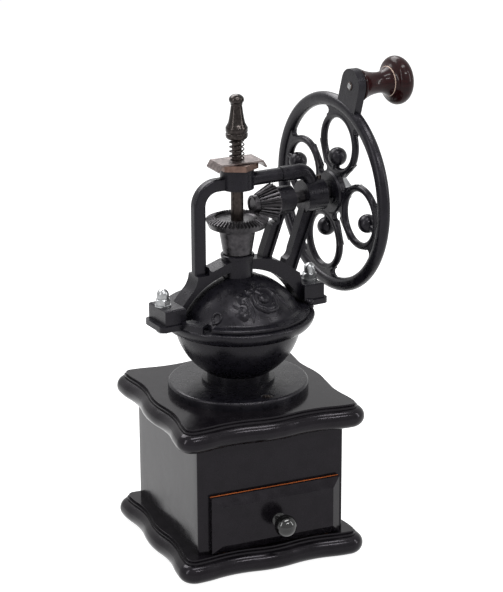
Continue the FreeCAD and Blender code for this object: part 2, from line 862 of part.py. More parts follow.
innerSleeveEnd = innerSleeveStart + innerSleeveLength
outerSleeveEnd = outerSleeveStart + outerSleeveLength
sleeves = [
    rod(innerSleeveRadius, point(innerSleeveStart, 0, shaftZ), xAxis, innerSleeveLength),
    rod(outerSleeveRadius, point(outerSleeveStart, 0, shaftZ), xAxis, outerSleeveLength),
]

innerStrutSteps = [
    (15.5, floorZ - 3),
    (17.5, floorZ + 5),
    (22.8, shaftZ - 17.5),
    ((24.2, shaftZ - 15.0), (26, shaftZ - 13.8)),
    (innerSleeveStart, shaftZ - 13.2),
    (innerSleeveStart, shaftZ - innerSleeveRadius * 0.8),
    (innerSleeveEnd - 1.5, shaftZ - innerSleeveRadius * 0.8),
    (33.5, shaftZ - 10.5),
    (24, floorZ + 0.9),
    (24.5, floorZ - 5),
]
outerStrutSteps = [
    (33.5, floorZ - 7.5),
    (34.5, floorZ - 3),
    ((37.2, floorZ - 1.2), (38.9, floorZ + 3)),
    (47, shaftZ - 11.1),
    (outerSleeveStart, shaftZ - 7),
    (outerSleeveEnd - 2, shaftZ - 7),
    (57, shaftZ - 11.1),
    (50, floorZ + 8.5),
    (45, floorZ - 4.5),
    (42.4, floorZ - 11.6),
    (41, floorZ - 14),
]


def strut(steps):
    half = strutDepth / 2
    shape = slab(steps, -half, half)
    pocket = Part.Face(outline(steps, inXZ(0))).makeOffset2D(-strutFlange)
    for side in (-1, 1):
        groove = pocket.copy()
        groove.translate(point(0, side * (half - strutGroove), 0))
        shape = shape.cut(groove.extrude(point(0, side * (strutGroove + 1), 0)))
    return shape


yoke = joined(arch, blocks + [collar, post, bend, bar, boss] + arms + sleeves
              + [strut(innerStrutSteps), strut(outerStrutSteps)])
spindleBore = spindleRadius + shaftPlay
shaftBore = shaftRadius + shaftPlay
yoke = yoke.cut(rod(spindleBore, point(0, 0, seat), zAxis, bossTop - seat + 1))
yoke = yoke.cut(rod(shaftBore, point(innerSleeveStart - 1, 0, shaftZ), xAxis,
                    outerSleeveEnd - innerSleeveStart + 2))
for side in (-1, 1):
    yoke = yoke.cut(rod(footBoltRadius + pressPlay, point(side * footBoltPlace, 0, seat - 1), zAxis,
                        blockHeight + 2))
headNodes["yoke_frame"] = yoke.removeSplitter()

cupX = outerSleeveEnd - oilCupInset
cupBase = shaftZ + sqrt(outerSleeveRadius ** 2 - oilCupRadius ** 2) - 0.4
cupTop = shaftZ + outerSleeveRadius + oilCupHeight
oilCup = Part.makeCone(oilCupRadius, oilCupRadius * 0.8, cupTop - cupBase, point(cupX, 0, cupBase), zAxis)
sleeveRoom = rod(outerSleeveRadius + shaftPlay, point(outerSleeveStart, 0, shaftZ), xAxis,
                 outerSleeveLength + 1)
headNodes["oil_cup"] = oilCup.cut(sleeveRoom)


# Foot bolts from below, each with a washer and a domed cap nut on the foot block

washerTop = blockTop + footWasherThick
capTop = washerTop + footNutHeight
bolts = []
washers = []
capNuts = []
for side in (-1, 1):
    place = side * footBoltPlace
    headBottom = seat - lugThick - footHeadHeight
    head = hexagon(footHeadWidth, point(place, 0, headBottom), zAxis, footHeadHeight, 30)
    shank = rod(footBoltRadius, point(place, 0, headBottom), zAxis, capTop - headBottom)
    bolts.append(head.fuse(shank).removeSplitter())
    bore = rod(footBoltRadius + pressPlay, point(place, 0, blockTop), zAxis, capTop + pressPlay - blockTop)
    disc = rod(footWasherRadius, point(place, 0, blockTop), zAxis, footWasherThick)
    washers.append(disc.cut(bore))
    drum = rod(footDomeRadius, point(place, 0, capTop - 1), zAxis, footDomeRise + 1)
    dome = Part.makeSphere(footDomeRadius, point(place, 0, capTop + footDomeRise), zAxis, 0, 90, 360)
    nut = hexagon(footNutWidth, point(place, 0, washerTop), zAxis, footNutHeight, 15)
    chamfer = Part.makeCone(footNutWidth / 2 + footNutHeight, footNutWidth / 2 - 0.2, footNutHeight + 0.2,
                            point(place, 0, washerTop), zAxis)
    capNuts.append(joined(nut.common(chamfer), [drum, dome]).cut(bore))
headNodes["yoke_bolts"] = asGroup(bolts)
headNodes["yoke_washers"] = asGroup(washers)
headNodes["yoke_cap_nuts"] = asGroup(capNuts)


# Bevel gears. Both pitch cones have their apex where the spindle's and the shaft's axes cross.

pinionCone = atan(pinionTeeth / crownTeeth)
alongPitch = point(cos(pinionCone), 0, -sin(pinionCone))
crownTipWay = point(sin(pinionCone), 0, cos(pinionCone))


def gearTooth(reaches, tipWay, halves, embed):
    # One tooth on +X, as a frustum that narrows towards the apex.
    rootHalf, pitchHalf, tipHalf = halves
    section = [(-toothDedendum - embed, rootHalf), (-toothDedendum, rootHalf), (0, pitchHalf),
               (toothAddendum, tipHalf)]
    corners = [(h, -w) for h, w in section] + [(h, w) for h, w in reversed(section)]
    ends = []
    for reach in reaches:
        scale = reach / gearReach
        middle = shaftAxis + alongPitch * reach
        ends.append(outline(corners, lambda h, w: middle + tipWay * (h * scale) + yAxis * (w * scale)))
    return Part.makeLoft(ends, True, True)


def conePoint(reach, height, aboutShaft):
    # Profile point at a cone distance and a height over the pitch cone, for either gear.
    scale = reach / gearReach
    along = reach * cos(pinionCone)
    across = reach * sin(pinionCone)
    if aboutShaft:
        return (along - height * scale * sin(pinionCone), across + height * scale * cos(pinionCone))
    return (along + height * scale * sin(pinionCone), shaftZ - across + height * scale * cos(pinionCone))


crownPlateZ = shaftZ - crownPlateDrop
crownHubTop = shaftZ - crownHubTopDrop
crownFoot = seat + collarTop + runGap
skirt = conePoint(gearReach, -crownSkirt, False)
crownProfile = [
    (spindleBore, crownFoot),
    (crownHubFootRadius, crownFoot),
    (crownHubTopRadius, crownHubTop),
    ((crownHubTopRadius + 1.6, crownHubTop + 1.5), (crownHubTopRadius + 4, crownHubTop + 2.1)),
    skirt,
    conePoint(gearReach, -toothDedendum, False),
    conePoint(gearInner, -toothDedendum, False),
    (crownPlateRadius, crownPlateZ + 0.8),
    (crownPlateRadius - 0.8, crownPlateZ),
    (spindleBore, crownPlateZ),
]
crownBlank = turned(crownProfile)
crownTooth = gearTooth((gearInner, gearReach), crownTipWay,
                       (crownRootHalf, crownPitchHalf, crownTipHalf), 0.25)
teeth = []
for k in range(crownTeeth):
    tooth = crownTooth.copy()
    tooth.rotate(origin, zAxis, 360 * k / crownTeeth)
    teeth.append(tooth)
crown = joined(crownBlank, teeth)
keySlack = keyWidth / 2 - shaftPlay
crownKey = box(spindleRadius - keyDepth + shaftPlay, spindleRadius + 1, -keySlack, keySlack,
               crownFoot, crownPlateZ)
headNodes["crown_gear"] = crown.fuse(crownKey).removeSplitter()

pinionHubEnd = pinionHubStart + pinionHubLength
pinionBack = innerSleeveStart - runGap
toothFoot = conePoint(gearInner, -toothDedendum, True)
toothEnd = conePoint(pinionReach, -toothDedendum, True)
pinionProfile = [
    (pinionHubStart, shaftBore),
    (pinionHubStart, pinionHubRadius - 0.5),
    (pinionHubStart + 0.5, pinionHubRadius),
    (pinionHubEnd, pinionHubRadius),
    toothFoot,
    toothEnd,
    (pinionBack, toothEnd[1]),
    (pinionBack, shaftBore),
]
pinion = turnedOnShaft(pinionProfile)
pinionTooth = gearTooth((gearInner, pinionReach), -crownTipWay,
                        (pinionRootHalf, pinionPitchHalf, pinionTipHalf), 0.25)
teeth = []
for k in range(pinionTeeth):
    tooth = pinionTooth.copy()
    tooth.rotate(shaftAxis, xAxis, 360 * (k + 0.5) / pinionTeeth)
    teeth.append(tooth)
headNodes["bevel_pinion"] = joined(pinion, teeth)


# Drive shaft and crank wheel: rim, four scroll rings with webs, balls on necks, hub and crank lug

wheelAxis = point(wheelPlace, 0, shaftZ)
barrelEnd = wheelBarrelStart + wheelBarrelLength
shaftEnd = barrelEnd + wheelNutHeight + shaftOverhang
shaftProfile = [
    (shaftStart, 0),
    (shaftStart, shaftRadius - 0.4),
    (shaftStart + 0.4, shaftRadius),
    (shaftEnd - 0.6, shaftRadius),
    (shaftEnd, shaftRadius - 0.6),
    (shaftEnd, 0),
]
headNodes["drive_shaft"] = turnedOnShaft(shaftProfile)


def onWheel(radius, angle, x=wheelPlace):
    # Place at a radius and an angle on the wheel, the angle from +Y towards +Z.
    y, z = onCircle(radius, angle)
    return point(x, y, shaftZ + z)


def wheelPlate(steps, thick, angle):
    # Plate in the wheel's middle plane. Its outline is drawn with the radius along +Y and then turned.
    front = wheelPlace - thick / 2
    face = Part.Face(outline(steps, lambda y, z: point(front, y, shaftZ + z)))
    shape = face.extrude(point(thick, 0, 0))
    shape.rotate(wheelAxis, xAxis, angle)
    return shape


rimHalf = rimWidth / 2
rimSide = rimThick / 2
rimFlat = 0.6         # half width of the flat on each side of the rim's section
rimSteps = [
    (wheelPlace - rimSide, rimRadius - rimFlat),
    (wheelPlace - rimSide, rimRadius + rimFlat),
    ((wheelPlace - rimSide * 0.72, rimRadius + rimHalf * 0.74), (wheelPlace, rimRadius + rimHalf)),
    ((wheelPlace + rimSide * 0.72, rimRadius + rimHalf * 0.74), (wheelPlace + rimSide, rimRadius + rimFlat)),
    (wheelPlace + rimSide, rimRadius - rimFlat),
    ((wheelPlace + rimSide * 0.72, rimRadius - rimHalf * 0.74), (wheelPlace, rimRadius - rimHalf)),
    ((wheelPlace - rimSide * 0.72, rimRadius - rimHalf * 0.74), (wheelPlace - rimSide, rimRadius - rimFlat)),
]
rim = turnedOnShaft(rimSteps)
discSteps = [
    (wheelPlace - wheelDiscThick / 2, shaftBore),
    (wheelPlace - wheelDiscThick / 2, wheelDiscRadius - 1),
    (wheelPlace - wheelDiscThick / 2 + 1, wheelDiscRadius),
    (wheelPlace + wheelDiscThick / 2 - 1, wheelDiscRadius),
    (wheelPlace + wheelDiscThick / 2, wheelDiscRadius - 1),
    (wheelPlace + wheelDiscThick / 2, wheelBarrelRadius),
    (barrelEnd, wheelBarrelRadius),
    (barrelEnd, shaftBore),
]
hub = turnedOnShaft(discSteps)
frontBarrel = turnedOnShaft([
    (wheelBarrelStart, shaftBore),
    (wheelBarrelStart, wheelBarrelRadius),
    (wheelPlace, wheelBarrelRadius),
    (wheelPlace, shaftBore),
])

rimInner = rimRadius - rimHalf
scrollOuter = scrollRadius + scrollBar
wheelWorks = [hub, frontBarrel]


def filletAngle(fromHub, fromScroll):
    # Angle at the wheel's centre of a fillet circle that touches the scroll ring and the rim or the disc.
    cosine = (fromHub ** 2 + scrollPlace ** 2 - fromScroll ** 2) / (2 * fromHub * scrollPlace)
    return acos(max(-1.0, min(1.0, cosine)))


def scrollWeb(fromHub, near, far):
    # Web that fills the corner between a scroll ring and the rim or the disc, with round hollows at its ends.
    turn = filletAngle(fromHub, scrollOuter + scrollFillet)
    steps = [
        (near * cos(turn), -near * sin(turn)),
        (far * cos(turn), -far * sin(turn)),
        ((far, 0), (far * cos(turn), far * sin(turn))),
        (near * cos(turn), near * sin(turn)),
    ]
    web = wheelPlate(steps, webThick, 0)
    for side in (-1, 1):
        place = onWheel(fromHub, side * turn * 180 / pi, wheelPlace - webThick)
        web = web.cut(rod(scrollFillet, place, xAxis, 2 * webThick))
    hollow = rod(scrollRadius, onWheel(scrollPlace, 0, wheelPlace - webThick), xAxis, 2 * webThick)
    return web.cut(hollow)


rimWeb = scrollWeb(rimInner - scrollFillet, scrollPlace, rimRadius - 1)
discWeb = scrollWeb(wheelDiscRadius + scrollFillet, wheelDiscRadius - 3, scrollPlace)
for k in range(4):
    turn = scrollTurn + 90 * k
    ring = Part.makeTorus(scrollRadius, scrollBar, onWheel(scrollPlace, turn), xAxis)
    wheelWorks.append(ring)
    for web in (rimWeb, discWeb):
        copy = web.copy()
        copy.rotate(wheelAxis, xAxis, turn)
        wheelWorks.append(copy)
    inward = k % 2 == 0
    ballPlace = innerBallPlace if inward else outerBallPlace
    neckFrom = scrollPlace - scrollRadius if inward else ballPlace
    neckTo = ballPlace if inward else scrollPlace + scrollRadius
    ball = Part.makeSphere(ballRadius, onWheel(ballPlace, turn))
    outward = onWheel(1, turn) - wheelAxis
    neck = rod(ballNeckRadius, onWheel(neckFrom, turn), outward, neckTo - neckFrom)
    wheelWorks.append(ball)
    wheelWorks.append(neck)

lugBase = rimRadius - rimHalf * 0.5
toFoot = sqrt((crankLugPlace - lugBase) ** 2 + crankLugFoot ** 2)
lugLean = acos(crankLugRadius / toFoot) - atan2(crankLugPlace - lugBase, crankLugFoot)
touch = (crankLugPlace + crankLugRadius * sin(lugLean), crankLugRadius * cos(lugLean))
lugSteps = [
    (lugBase, -crankLugFoot),
    (touch[0], -touch[1]),
    ((crankLugPlace + crankLugRadius, 0), touch),
    (lugBase, crankLugFoot),
]
crankLug = wheelPlate(lugSteps, crankLugThick, crankLugTurn)
wheel = joined(rim, wheelWorks + [crankLug])
crankAxis = onWheel(crankPlace, crankLugTurn, 0)
wheel = wheel.cut(rod(handleBoltRadius + pressPlay, crankAxis + xAxis * (wheelPlace - crankLugThick), xAxis,
                      2 * crankLugThick))
headNodes["drive_wheel"] = wheel

washerStart = outerSleeveEnd + runGap
washerProfile = [
    (washerStart, shaftBore),
    (washerStart, wheelWasherRadius),
    (washerStart + wheelWasherThick, wheelWasherRadius),
    (washerStart + wheelWasherThick, shaftBore),
]
headNodes["wheel_washer"] = turnedOnShaft(washerProfile)
wheelNut = hexagon(wheelNutWidth, point(barrelEnd, 0, shaftZ), xAxis, wheelNutHeight)
headNodes["wheel_nut"] = wheelNut.cut(rod(shaftBore, point(barrelEnd - 1, 0, shaftZ), xAxis,
                                          wheelNutHeight + 2))


# Crank handle: riveted bolt, washer and turned knob that spins on the bolt

lugFront = wheelPlace - crankLugThick / 2
lugBack = wheelPlace + crankLugThick / 2
knobStart = lugBack + runGap + handleWasherThick
knobEnd = knobStart + handleLength
handleBore = handleBoltRadius + shaftPlay
rivetSeat = knobEnd - handleRivetDepth


def turnedOnCrank(steps):
    face = Part.Face(outline(steps, lambda x, r: crankAxis + point(x, 0, r)))
    return face.revolve(crankAxis, xAxis, 360)


boltProfile = [
    (lugFront - handleBoltHead, 0),
    (lugFront - handleBoltHead, handleBoltHeadRadius - 0.5),
    (lugFront - handleBoltHead * 0.4, handleBoltHeadRadius),
    (lugFront, handleBoltHeadRadius),
    (lugFront, handleBoltRadius),
    (rivetSeat + runGap, handleBoltRadius),
    (rivetSeat + runGap, handleRivetRadius),
    (rivetSeat + runGap + handleEndHead * 0.5, handleRivetRadius),
    (rivetSeat + runGap + handleEndHead, handleRivetRadius * 0.6),
    (rivetSeat + runGap + handleEndHead, 0),
]
headNodes["handle_bolt"] = turnedOnCrank(boltProfile)
thinWasher = [
    (lugBack, handleBoltRadius + pressPlay),
    (lugBack, handleWasherRadius),
    (lugBack + handleWasherThick, handleWasherRadius),
    (lugBack + handleWasherThick, handleBoltRadius + pressPlay),
]
headNodes["handle_washer"] = turnedOnCrank(thinWasher)


def arcFromCrest(crest, end):
    # Middle point of the arc to end that leaves crest, a place of greatest or least radius, along X.
    along = end[0] - crest[0]
    drop = end[1] - crest[1]
    radius = (along ** 2 + drop ** 2) / (2 * drop)
    turn = asin(along / radius) / 2
    return (crest[0] + radius * sin(turn), crest[1] + radius * (1 - cos(turn)))


foot = (knobStart + handleFootPlace, handleFootRadius)
neck = (knobStart + handleNeckPlace, handleNeckRadius)
join = (knobStart + handleJoinPlace, handleJoinRadius)
bulge = (knobStart + handleBulgePlace, handleBulgeRadius)
nose = (knobEnd, handleNoseRadius)
knobProfile = [
    (knobStart, handleBore),
    (knobStart, handleFootRadius - 0.8),
    ((knobStart + 0.3, handleFootRadius - 0.2), foot),
    (arcFromCrest(neck, foot), neck),
    (arcFromCrest(neck, join), join),
    (arcFromCrest(bulge, join), bulge),
    (arcFromCrest(bulge, nose), nose),
    (knobEnd, handleRivetRadius + 1.2),
    (rivetSeat, handleRivetRadius + 0.9),
    (rivetSeat, handleBore),
]
headNodes["handle_knob"] = turnedOnCrank(knobProfile)


# Spindle, keyed to the crown gear, with the inner burr on its foot and the outer burr in the bowl

spindleBottom = deck - spindleFoot
burrBottom = flangeTop - innerBurrDrop
finialConeTop = finialBottom + finialBandHeight + finialConeHeight
thickTop = plateBottom + 0.5
spindleProfile = [
    (0, spindleBottom),
    (spindleRadius + 1.6, spindleBottom),
    (spindleRadius + 2.4, spindleBottom + 0.8),
    (spindleRadius + 2.4, burrBottom),
    (spindleRadius, burrBottom),
    (spindleRadius, thickTop - 0.5),
    (spindleTipRadius, thickTop),
    (spindleTipRadius, finialConeTop - finialStub),
    (0, finialConeTop - finialStub),
]
spindle = turned(spindleProfile)
keyway = box(spindleRadius - keyDepth, spindleRadius + 1, -keyWidth / 2, keyWidth / 2,
             crownFoot - 3, crownPlateZ + 3)
headNodes["spindle"] = spindle.cut(keyway)


def fluted(shape, count, radius, height, bottom, skew, lean):
    # Cuts skewed V grooves down the wall of a burr.
    half = fluteWidth / 2
    section = outline([(-half, 0), (0, -fluteDepth), (half, 0), (0, fluteDepth)], inXY(-height))
    tool = Part.Face(section).extrude(point(0, 0, 3 * height))
    tool.rotate(origin, yAxis, skew)
    tool.rotate(origin, xAxis, lean)
    tool.translate(point(0, -radius, bottom + height * 0.5))
    cuts = []
    for k in range(count):
        cut = tool.copy()
        cut.rotate(origin, zAxis, 360 * k / count)
        cuts.append(cut)
    return shape.cut(cuts[0].multiFuse(cuts[1:]))


innerBurrProfile = [
    (spindleRadius + pressPlay, burrBottom),
    (innerBurrFootRadius, burrBottom),
    (innerBurrFootRadius, burrBottom + 1.2),
    (innerBurrTopRadius, burrBottom + innerBurrHeight),
    (spindleRadius + pressPlay, burrBottom + innerBurrHeight),
]
innerLean = -atan((innerBurrFootRadius - innerBurrTopRadius) / innerBurrHeight) * 180 / pi
innerMiddle = (innerBurrTopRadius + innerBurrFootRadius) / 2
headNodes["inner_burr"] = fluted(turned(innerBurrProfile), innerBurrFlutes, innerMiddle,
                                 innerBurrHeight, burrBottom, fluteSkew, innerLean)
outerBurrProfile = [
    (outerBurrFootRadius + 0.6, flangeTop),
    (outerBurrRadius, flangeTop),
    (outerBurrRadius, flangeTop + outerBurrHeight),
    (outerBurrTopRadius + 1.2, flangeTop + outerBurrHeight),
    (outerBurrTopRadius, flangeTop + outerBurrHeight - 1.5),
    (outerBurrFootRadius, flangeTop + 1.5),
]
headNodes["outer_burr"] = fluted(turned(outerBurrProfile), outerBurrFlutes, outerBurrFootRadius,
                                 outerBurrHeight, flangeTop, fluteSkew, 0)


# Adjusting nut on the spindle's thread, sprung lock plate, spring and finial

nutShape = hexagon(nutWidth, point(0, 0, nutBottom), zAxis, nutHeight, plateTurn + 30)
headNodes["adjusting_nut"] = nutShape.cut(rod(spindleBore, point(0, 0, nutBottom - 1), zAxis, nutHeight + 2))

halfPlate = plateLength / 2
wingOut = plateWing * cos(radians(plateWingDrop))
wingDown = plateWing * sin(radians(plateWingDrop))
skinOut = plateThick * tan(radians(plateWingDrop) / 2)
plateSteps = [
    (-halfPlate - skinOut - wingOut, plateTop - wingDown),
    (-halfPlate - skinOut, plateTop),
    (halfPlate + skinOut, plateTop),
    (halfPlate + skinOut + wingOut, plateTop - wingDown),
    (halfPlate + wingOut, plateBottom - wingDown),
    (halfPlate, plateBottom),
    (-halfPlate, plateBottom),
    (-halfPlate - wingOut, plateBottom - wingDown),
]
lockPlate = slab(plateSteps, -plateWidth / 2, plateWidth / 2)
lockPlate = lockPlate.cut(rod(spindleBore + 0.1, point(0, 0, plateBottom - 1), zAxis, plateThick + 2))
lockPlate.rotate(origin, zAxis, plateTurn)
headNodes["lock_plate"] = lockPlate


# Spring: straight ends square to the plate and the finial, bends, and turns as biarcs of a quarter turn

def biarc(a, aWay, b, bWay):
    # Two arcs from a to b that leave and arrive along the given directions.
    reach = b - a
    both = aWay + bWay
    k = 2 * (1 - aWay.dot(bWay))
    m = 2 * reach.dot(both)
    length = (-m + sqrt(m * m + 4 * k * reach.dot(reach))) / (2 * k)
    q0 = a + aWay * length
    q1 = b - bWay * length
    join = (q0 + q1) * 0.5
    arcs = []
    for start, corner, end in ((a, q0, join), (join, q1, b)):
        middle = (start + end) * 0.5
        halfChord = start.distanceToPoint(middle)
        rise = corner.distanceToPoint(middle)
        turn = atan2(rise, halfChord)
        through = middle + (corner - middle) * (tan(turn / 2) / tan(turn))
        arcs.append(Part.Arc(start, through, end))
    return arcs


springStart = plateTop
coilBottom = springStart + springWire + springBend
coilTop = springStart + springHeight - springWire - springBend
springPitch = (coilTop - coilBottom) / springTurns
climb = springPitch / (2 * pi * springRadius)
flat = 1 / sqrt(1 + climb ** 2)


def helixPoint(turns):
    x, y = onCircle(springRadius, 360 * turns)
    return point(x, y, coilBottom + springPitch * turns)


def helixWay(turns):
    angle = 2 * pi * turns
    return point(-sin(angle) * flat, cos(angle) * flat, climb * flat)


def endBend(turns, up):
    # Quarter bend from the helix into the straight end, in the upright plane of the helix's direction.
    way = helixWay(turns)
    side = point(way.x, way.y, 0).normalize()
    tilt = atan(climb)
    sign = 1 if up else -1
    start = helixPoint(turns)
    across = springBend * (1 - sin(tilt))
    rise = springBend * cos(tilt)
    end = start + side * (sign * across) + zAxis * (sign * rise)
    centre = end - side * (sign * springBend)
    through = centre + ((start + end) * 0.5 - centre).normalize() * springBend
    return start, through, end


def springPath():
    edges = []
    start, through, end = endBend(0, False)
    foot = point(end.x, end.y, springStart)
    edges.append(Part.LineSegment(foot, end).toShape())
    edges.append(Part.Arc(end, through, start).toShape())
    quarters = int(round(4 * springTurns))
    for k in range(quarters):
        a = springTurns * k / quarters
        b = springTurns * (k + 1) / quarters
        for arc in biarc(helixPoint(a), helixWay(a), helixPoint(b), helixWay(b)):
            edges.append(arc.toShape())
    start, through, end = endBend(springTurns, True)
    head = point(end.x, end.y, springStart + springHeight)
    edges.append(Part.Arc(start, through, end).toShape())
    edges.append(Part.LineSegment(end, head).toShape())
    return Part.Wire(edges)


path = springPath()
section = Part.Wire(Part.makeCircle(springWire / 2, path.Vertexes[0].Point, zAxis))
springSweep = Part.BRepOffsetAPI.MakePipeShell(path)
springSweep.add(section)
springSweep.build()
springSweep.makeSolid()
headNodes["tension_spring"] = springSweep.shape()


def leastGap():
    # Least gap of the spring's wire to itself, from points along it that lie more than half a turn apart.
    points = path.discretize(400)
    step = path.Length / (len(points) - 1)
    skip = int(pi * springRadius / step)
    best = 1e9
    for i in range(len(points)):
        for j in range(i + skip, len(points)):
            best = min(best, points[i].distanceToPoint(points[j]))
    return best - springWire


print("spring: least gap to itself %.2f mm, pitch %.2f mm" % (leastGap(), springPitch))

bandTop = finialBottom + finialBandHeight
grooveZ = finialBottom + finialBandHeight * 0.6
ballZ = finialConeTop + finialBallRise
pocketTop = springStart + springHeight
stubHole = spindleTipRadius + pressPlay
ballFoot = ballZ - sqrt(finialBallRadius ** 2 - finialNeckRadius ** 2)
finialProfile = [
    (finialPocketRadius, finialBottom),
    (finialBandRadius - 0.3, finialBottom),
    (finialBandRadius, finialBottom + 0.4),
    (finialBandRadius, grooveZ - 0.6),
    (finialBandRadius - finialGroove, grooveZ),
    (finialBandRadius, grooveZ + 0.6),
    (finialShoulderRadius, bandTop - 0.8),
    (finialShoulderRadius - 0.5, bandTop),
    (finialNeckRadius, finialConeTop),
    (finialNeckRadius, ballFoot),
    ((finialBallRadius, ballZ), (0, ballZ + finialBallRadius)),
    (0, finialConeTop - finialStub + pressPlay),
    (stubHole, finialConeTop - finialStub + pressPlay),
    (stubHole, pocketTop),
    (finialPocketRadius, pocketTop),
]
headNodes["finial_nut"] = turned(finialProfile)


# Every piece to its own file, the head's pieces turned on the box

for name, shape in headNodes.items():
    nodes[name] = onHead(shape)
for name, shape in nodes.items():
    shape.exportStep("parts/" + name + ".step")
    solids = len(shape.Solids)
    print("%-18s solids %d valid %s volume %.0f" % (name, solids, shape.isValid(), shape.Volume))
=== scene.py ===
import math

import bpy
import numpy as np
from mathutils import Matrix, Vector


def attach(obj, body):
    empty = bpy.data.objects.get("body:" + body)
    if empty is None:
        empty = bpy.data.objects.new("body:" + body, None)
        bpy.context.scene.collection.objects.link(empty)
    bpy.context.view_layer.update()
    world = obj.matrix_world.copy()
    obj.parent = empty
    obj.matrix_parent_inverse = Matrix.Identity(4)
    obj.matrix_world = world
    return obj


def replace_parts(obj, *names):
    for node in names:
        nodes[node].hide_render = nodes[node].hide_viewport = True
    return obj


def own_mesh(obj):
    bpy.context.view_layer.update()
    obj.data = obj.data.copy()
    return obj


# Manual coffee grinder: black wooden box, cast iron mill head, open bevel gears, crank wheel.
# Metres, +Z up. The mill head stands turned by headTurn about Z, so its pieces are worked out
# in the head's own directions, in millimetres, and then turned and scaled.

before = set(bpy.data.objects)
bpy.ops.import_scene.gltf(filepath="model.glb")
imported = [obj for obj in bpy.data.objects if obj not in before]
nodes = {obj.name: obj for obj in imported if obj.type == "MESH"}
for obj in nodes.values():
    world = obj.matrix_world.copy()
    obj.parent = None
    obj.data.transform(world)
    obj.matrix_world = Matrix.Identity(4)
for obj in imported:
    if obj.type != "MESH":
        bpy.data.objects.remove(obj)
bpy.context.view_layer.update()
print("frame loaded:", len(nodes), "nodes")

headTurn = math.radians(6.5)
turnCos, turnSin = math.cos(headTurn), math.sin(headTurn)
shaftHeight = 229.1   # of the drive shaft's axis, in mm
poleRadius = 0.001    # in mm, at which a turned piece counts as closed


def placeHead(points):
    # head directions in mm -> row frame in metres: a turn by headTurn about Z, then 1/1000
    p = np.asarray(points, float)
    x = p[..., 0] * turnCos - p[..., 1] * turnSin
    y = p[..., 0] * turnSin + p[..., 1] * turnCos
    return np.stack([x, y, p[..., 2]], -1) / 1000


def gridPiece(name, points, closeU, closeV, material, body):
    # points[i, j] is a surface point. Cell (i, j) joins it to its neighbours i+1 and j+1,
    # counted round the end where that direction is closed.
    nu, nv = points.shape[:2]
    across, along = np.arange(nu if closeU else nu - 1), np.arange(nv if closeV else nv - 1)
    i, j = np.meshgrid(across, along, indexing="ij")
    i2, j2 = (i + 1) % nu, (j + 1) % nv
    cells = np.stack([i * nv + j, i2 * nv + j, i2 * nv + j2, i * nv + j2], -1).reshape(-1, 4)
    mesh = bpy.data.meshes.new(name)
    mesh.vertices.add(nu * nv)
    mesh.vertices.foreach_set("co", points.reshape(-1).astype(np.float32))
    mesh.loops.add(cells.size)
    mesh.loops.foreach_set("vertex_index", cells.reshape(-1).astype(np.int32))
    mesh.polygons.add(len(cells))
    mesh.polygons.foreach_set("loop_start", (np.arange(len(cells)) * 4).astype(np.int32))
    mesh.polygons.foreach_set("use_smooth", np.ones(len(cells), bool))
    mesh.update(calc_edges=True)
    mesh.validate()
    piece = bpy.data.objects.new(name, mesh)
    bpy.context.scene.collection.objects.link(piece)
    mesh.materials.append(material)
    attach(piece, body)
    return piece


def sharpen(piece, angle):
    # splits the smooth shading along every edge sharper than angle, in degrees
    split = piece.modifiers.new("sharpEdges", "EDGE_SPLIT")
    split.split_angle = math.radians(angle)


# Materials

noiseSpan = (0.3, 0.7)   # the part of 0 to 1 that fractal noise mostly fills


def newMaterial(name):
    # a principled material, with its tree, its shader and the piece's Object coordinates
    material = bpy.data.materials.new(name)
    material.use_nodes = True
    tree = material.node_tree
    shader = tree.nodes["Principled BSDF"]
    coords = tree.nodes.new("ShaderNodeTexCoord")
    return material, tree, shader, coords.outputs["Object"]


def addNoise(tree, vector, scale, detail=3.0, stretch=None):
    # fractal noise of that many waves a metre, drawn out along an axis by stretch
    if stretch:
        mapping = tree.nodes.new("ShaderNodeMapping")
        mapping.inputs["Scale"].default_value = stretch
        tree.links.new(vector, mapping.inputs["Vector"])
        vector = mapping.outputs["Vector"]
    noise = tree.nodes.new("ShaderNodeTexNoise")
    noise.inputs["Scale"].default_value = scale
    noise.inputs["Detail"].default_value = detail
    tree.links.new(vector, noise.inputs["Vector"])
    return noise.outputs["Fac"]


def addRange(tree, value, low, high):
    # stretches noiseSpan to low and high
    remap = tree.nodes.new("ShaderNodeMapRange")
    remap.inputs["From Min"].default_value = noiseSpan[0]
    remap.inputs["From Max"].default_value = noiseSpan[1]
    remap.inputs["To Min"].default_value = low
    remap.inputs["To Max"].default_value = high
    tree.links.new(value, remap.inputs["Value"])
    return remap.outputs["Result"]


def addMix(tree, factor, first, second):
    # first where factor is 0 and second where it is 1, each a colour or a socket
    mix = tree.nodes.new("ShaderNodeMix")
    mix.data_type = "RGBA"
    for socket, colour in ((mix.inputs[6], first), (mix.inputs[7], second)):
        if isinstance(colour, tuple):
            socket.default_value = (*colour, 1)
        else:
            tree.links.new(colour, socket)
    tree.links.new(factor, mix.inputs[0])
    return mix.outputs[2]


def addBump(tree, shader, height, distance, before=None):
    # a bump of distance metres, on top of the one before
    bump = tree.nodes.new("ShaderNodeBump")
    bump.inputs["Distance"].default_value = distance
    bump.inputs["Strength"].default_value = 1.0
    tree.links.new(height, bump.inputs["Height"])
    if before:
        tree.links.new(before, bump.inputs["Normal"])
    tree.links.new(bump.outputs["Normal"], shader.inputs["Normal"])
    return bump.outputs["Normal"]


# dark, light and rough: the ends of colour and roughness; grain and swell: waves a metre of the fine
# and the slow noise, with the depth in metres that each gives the bump

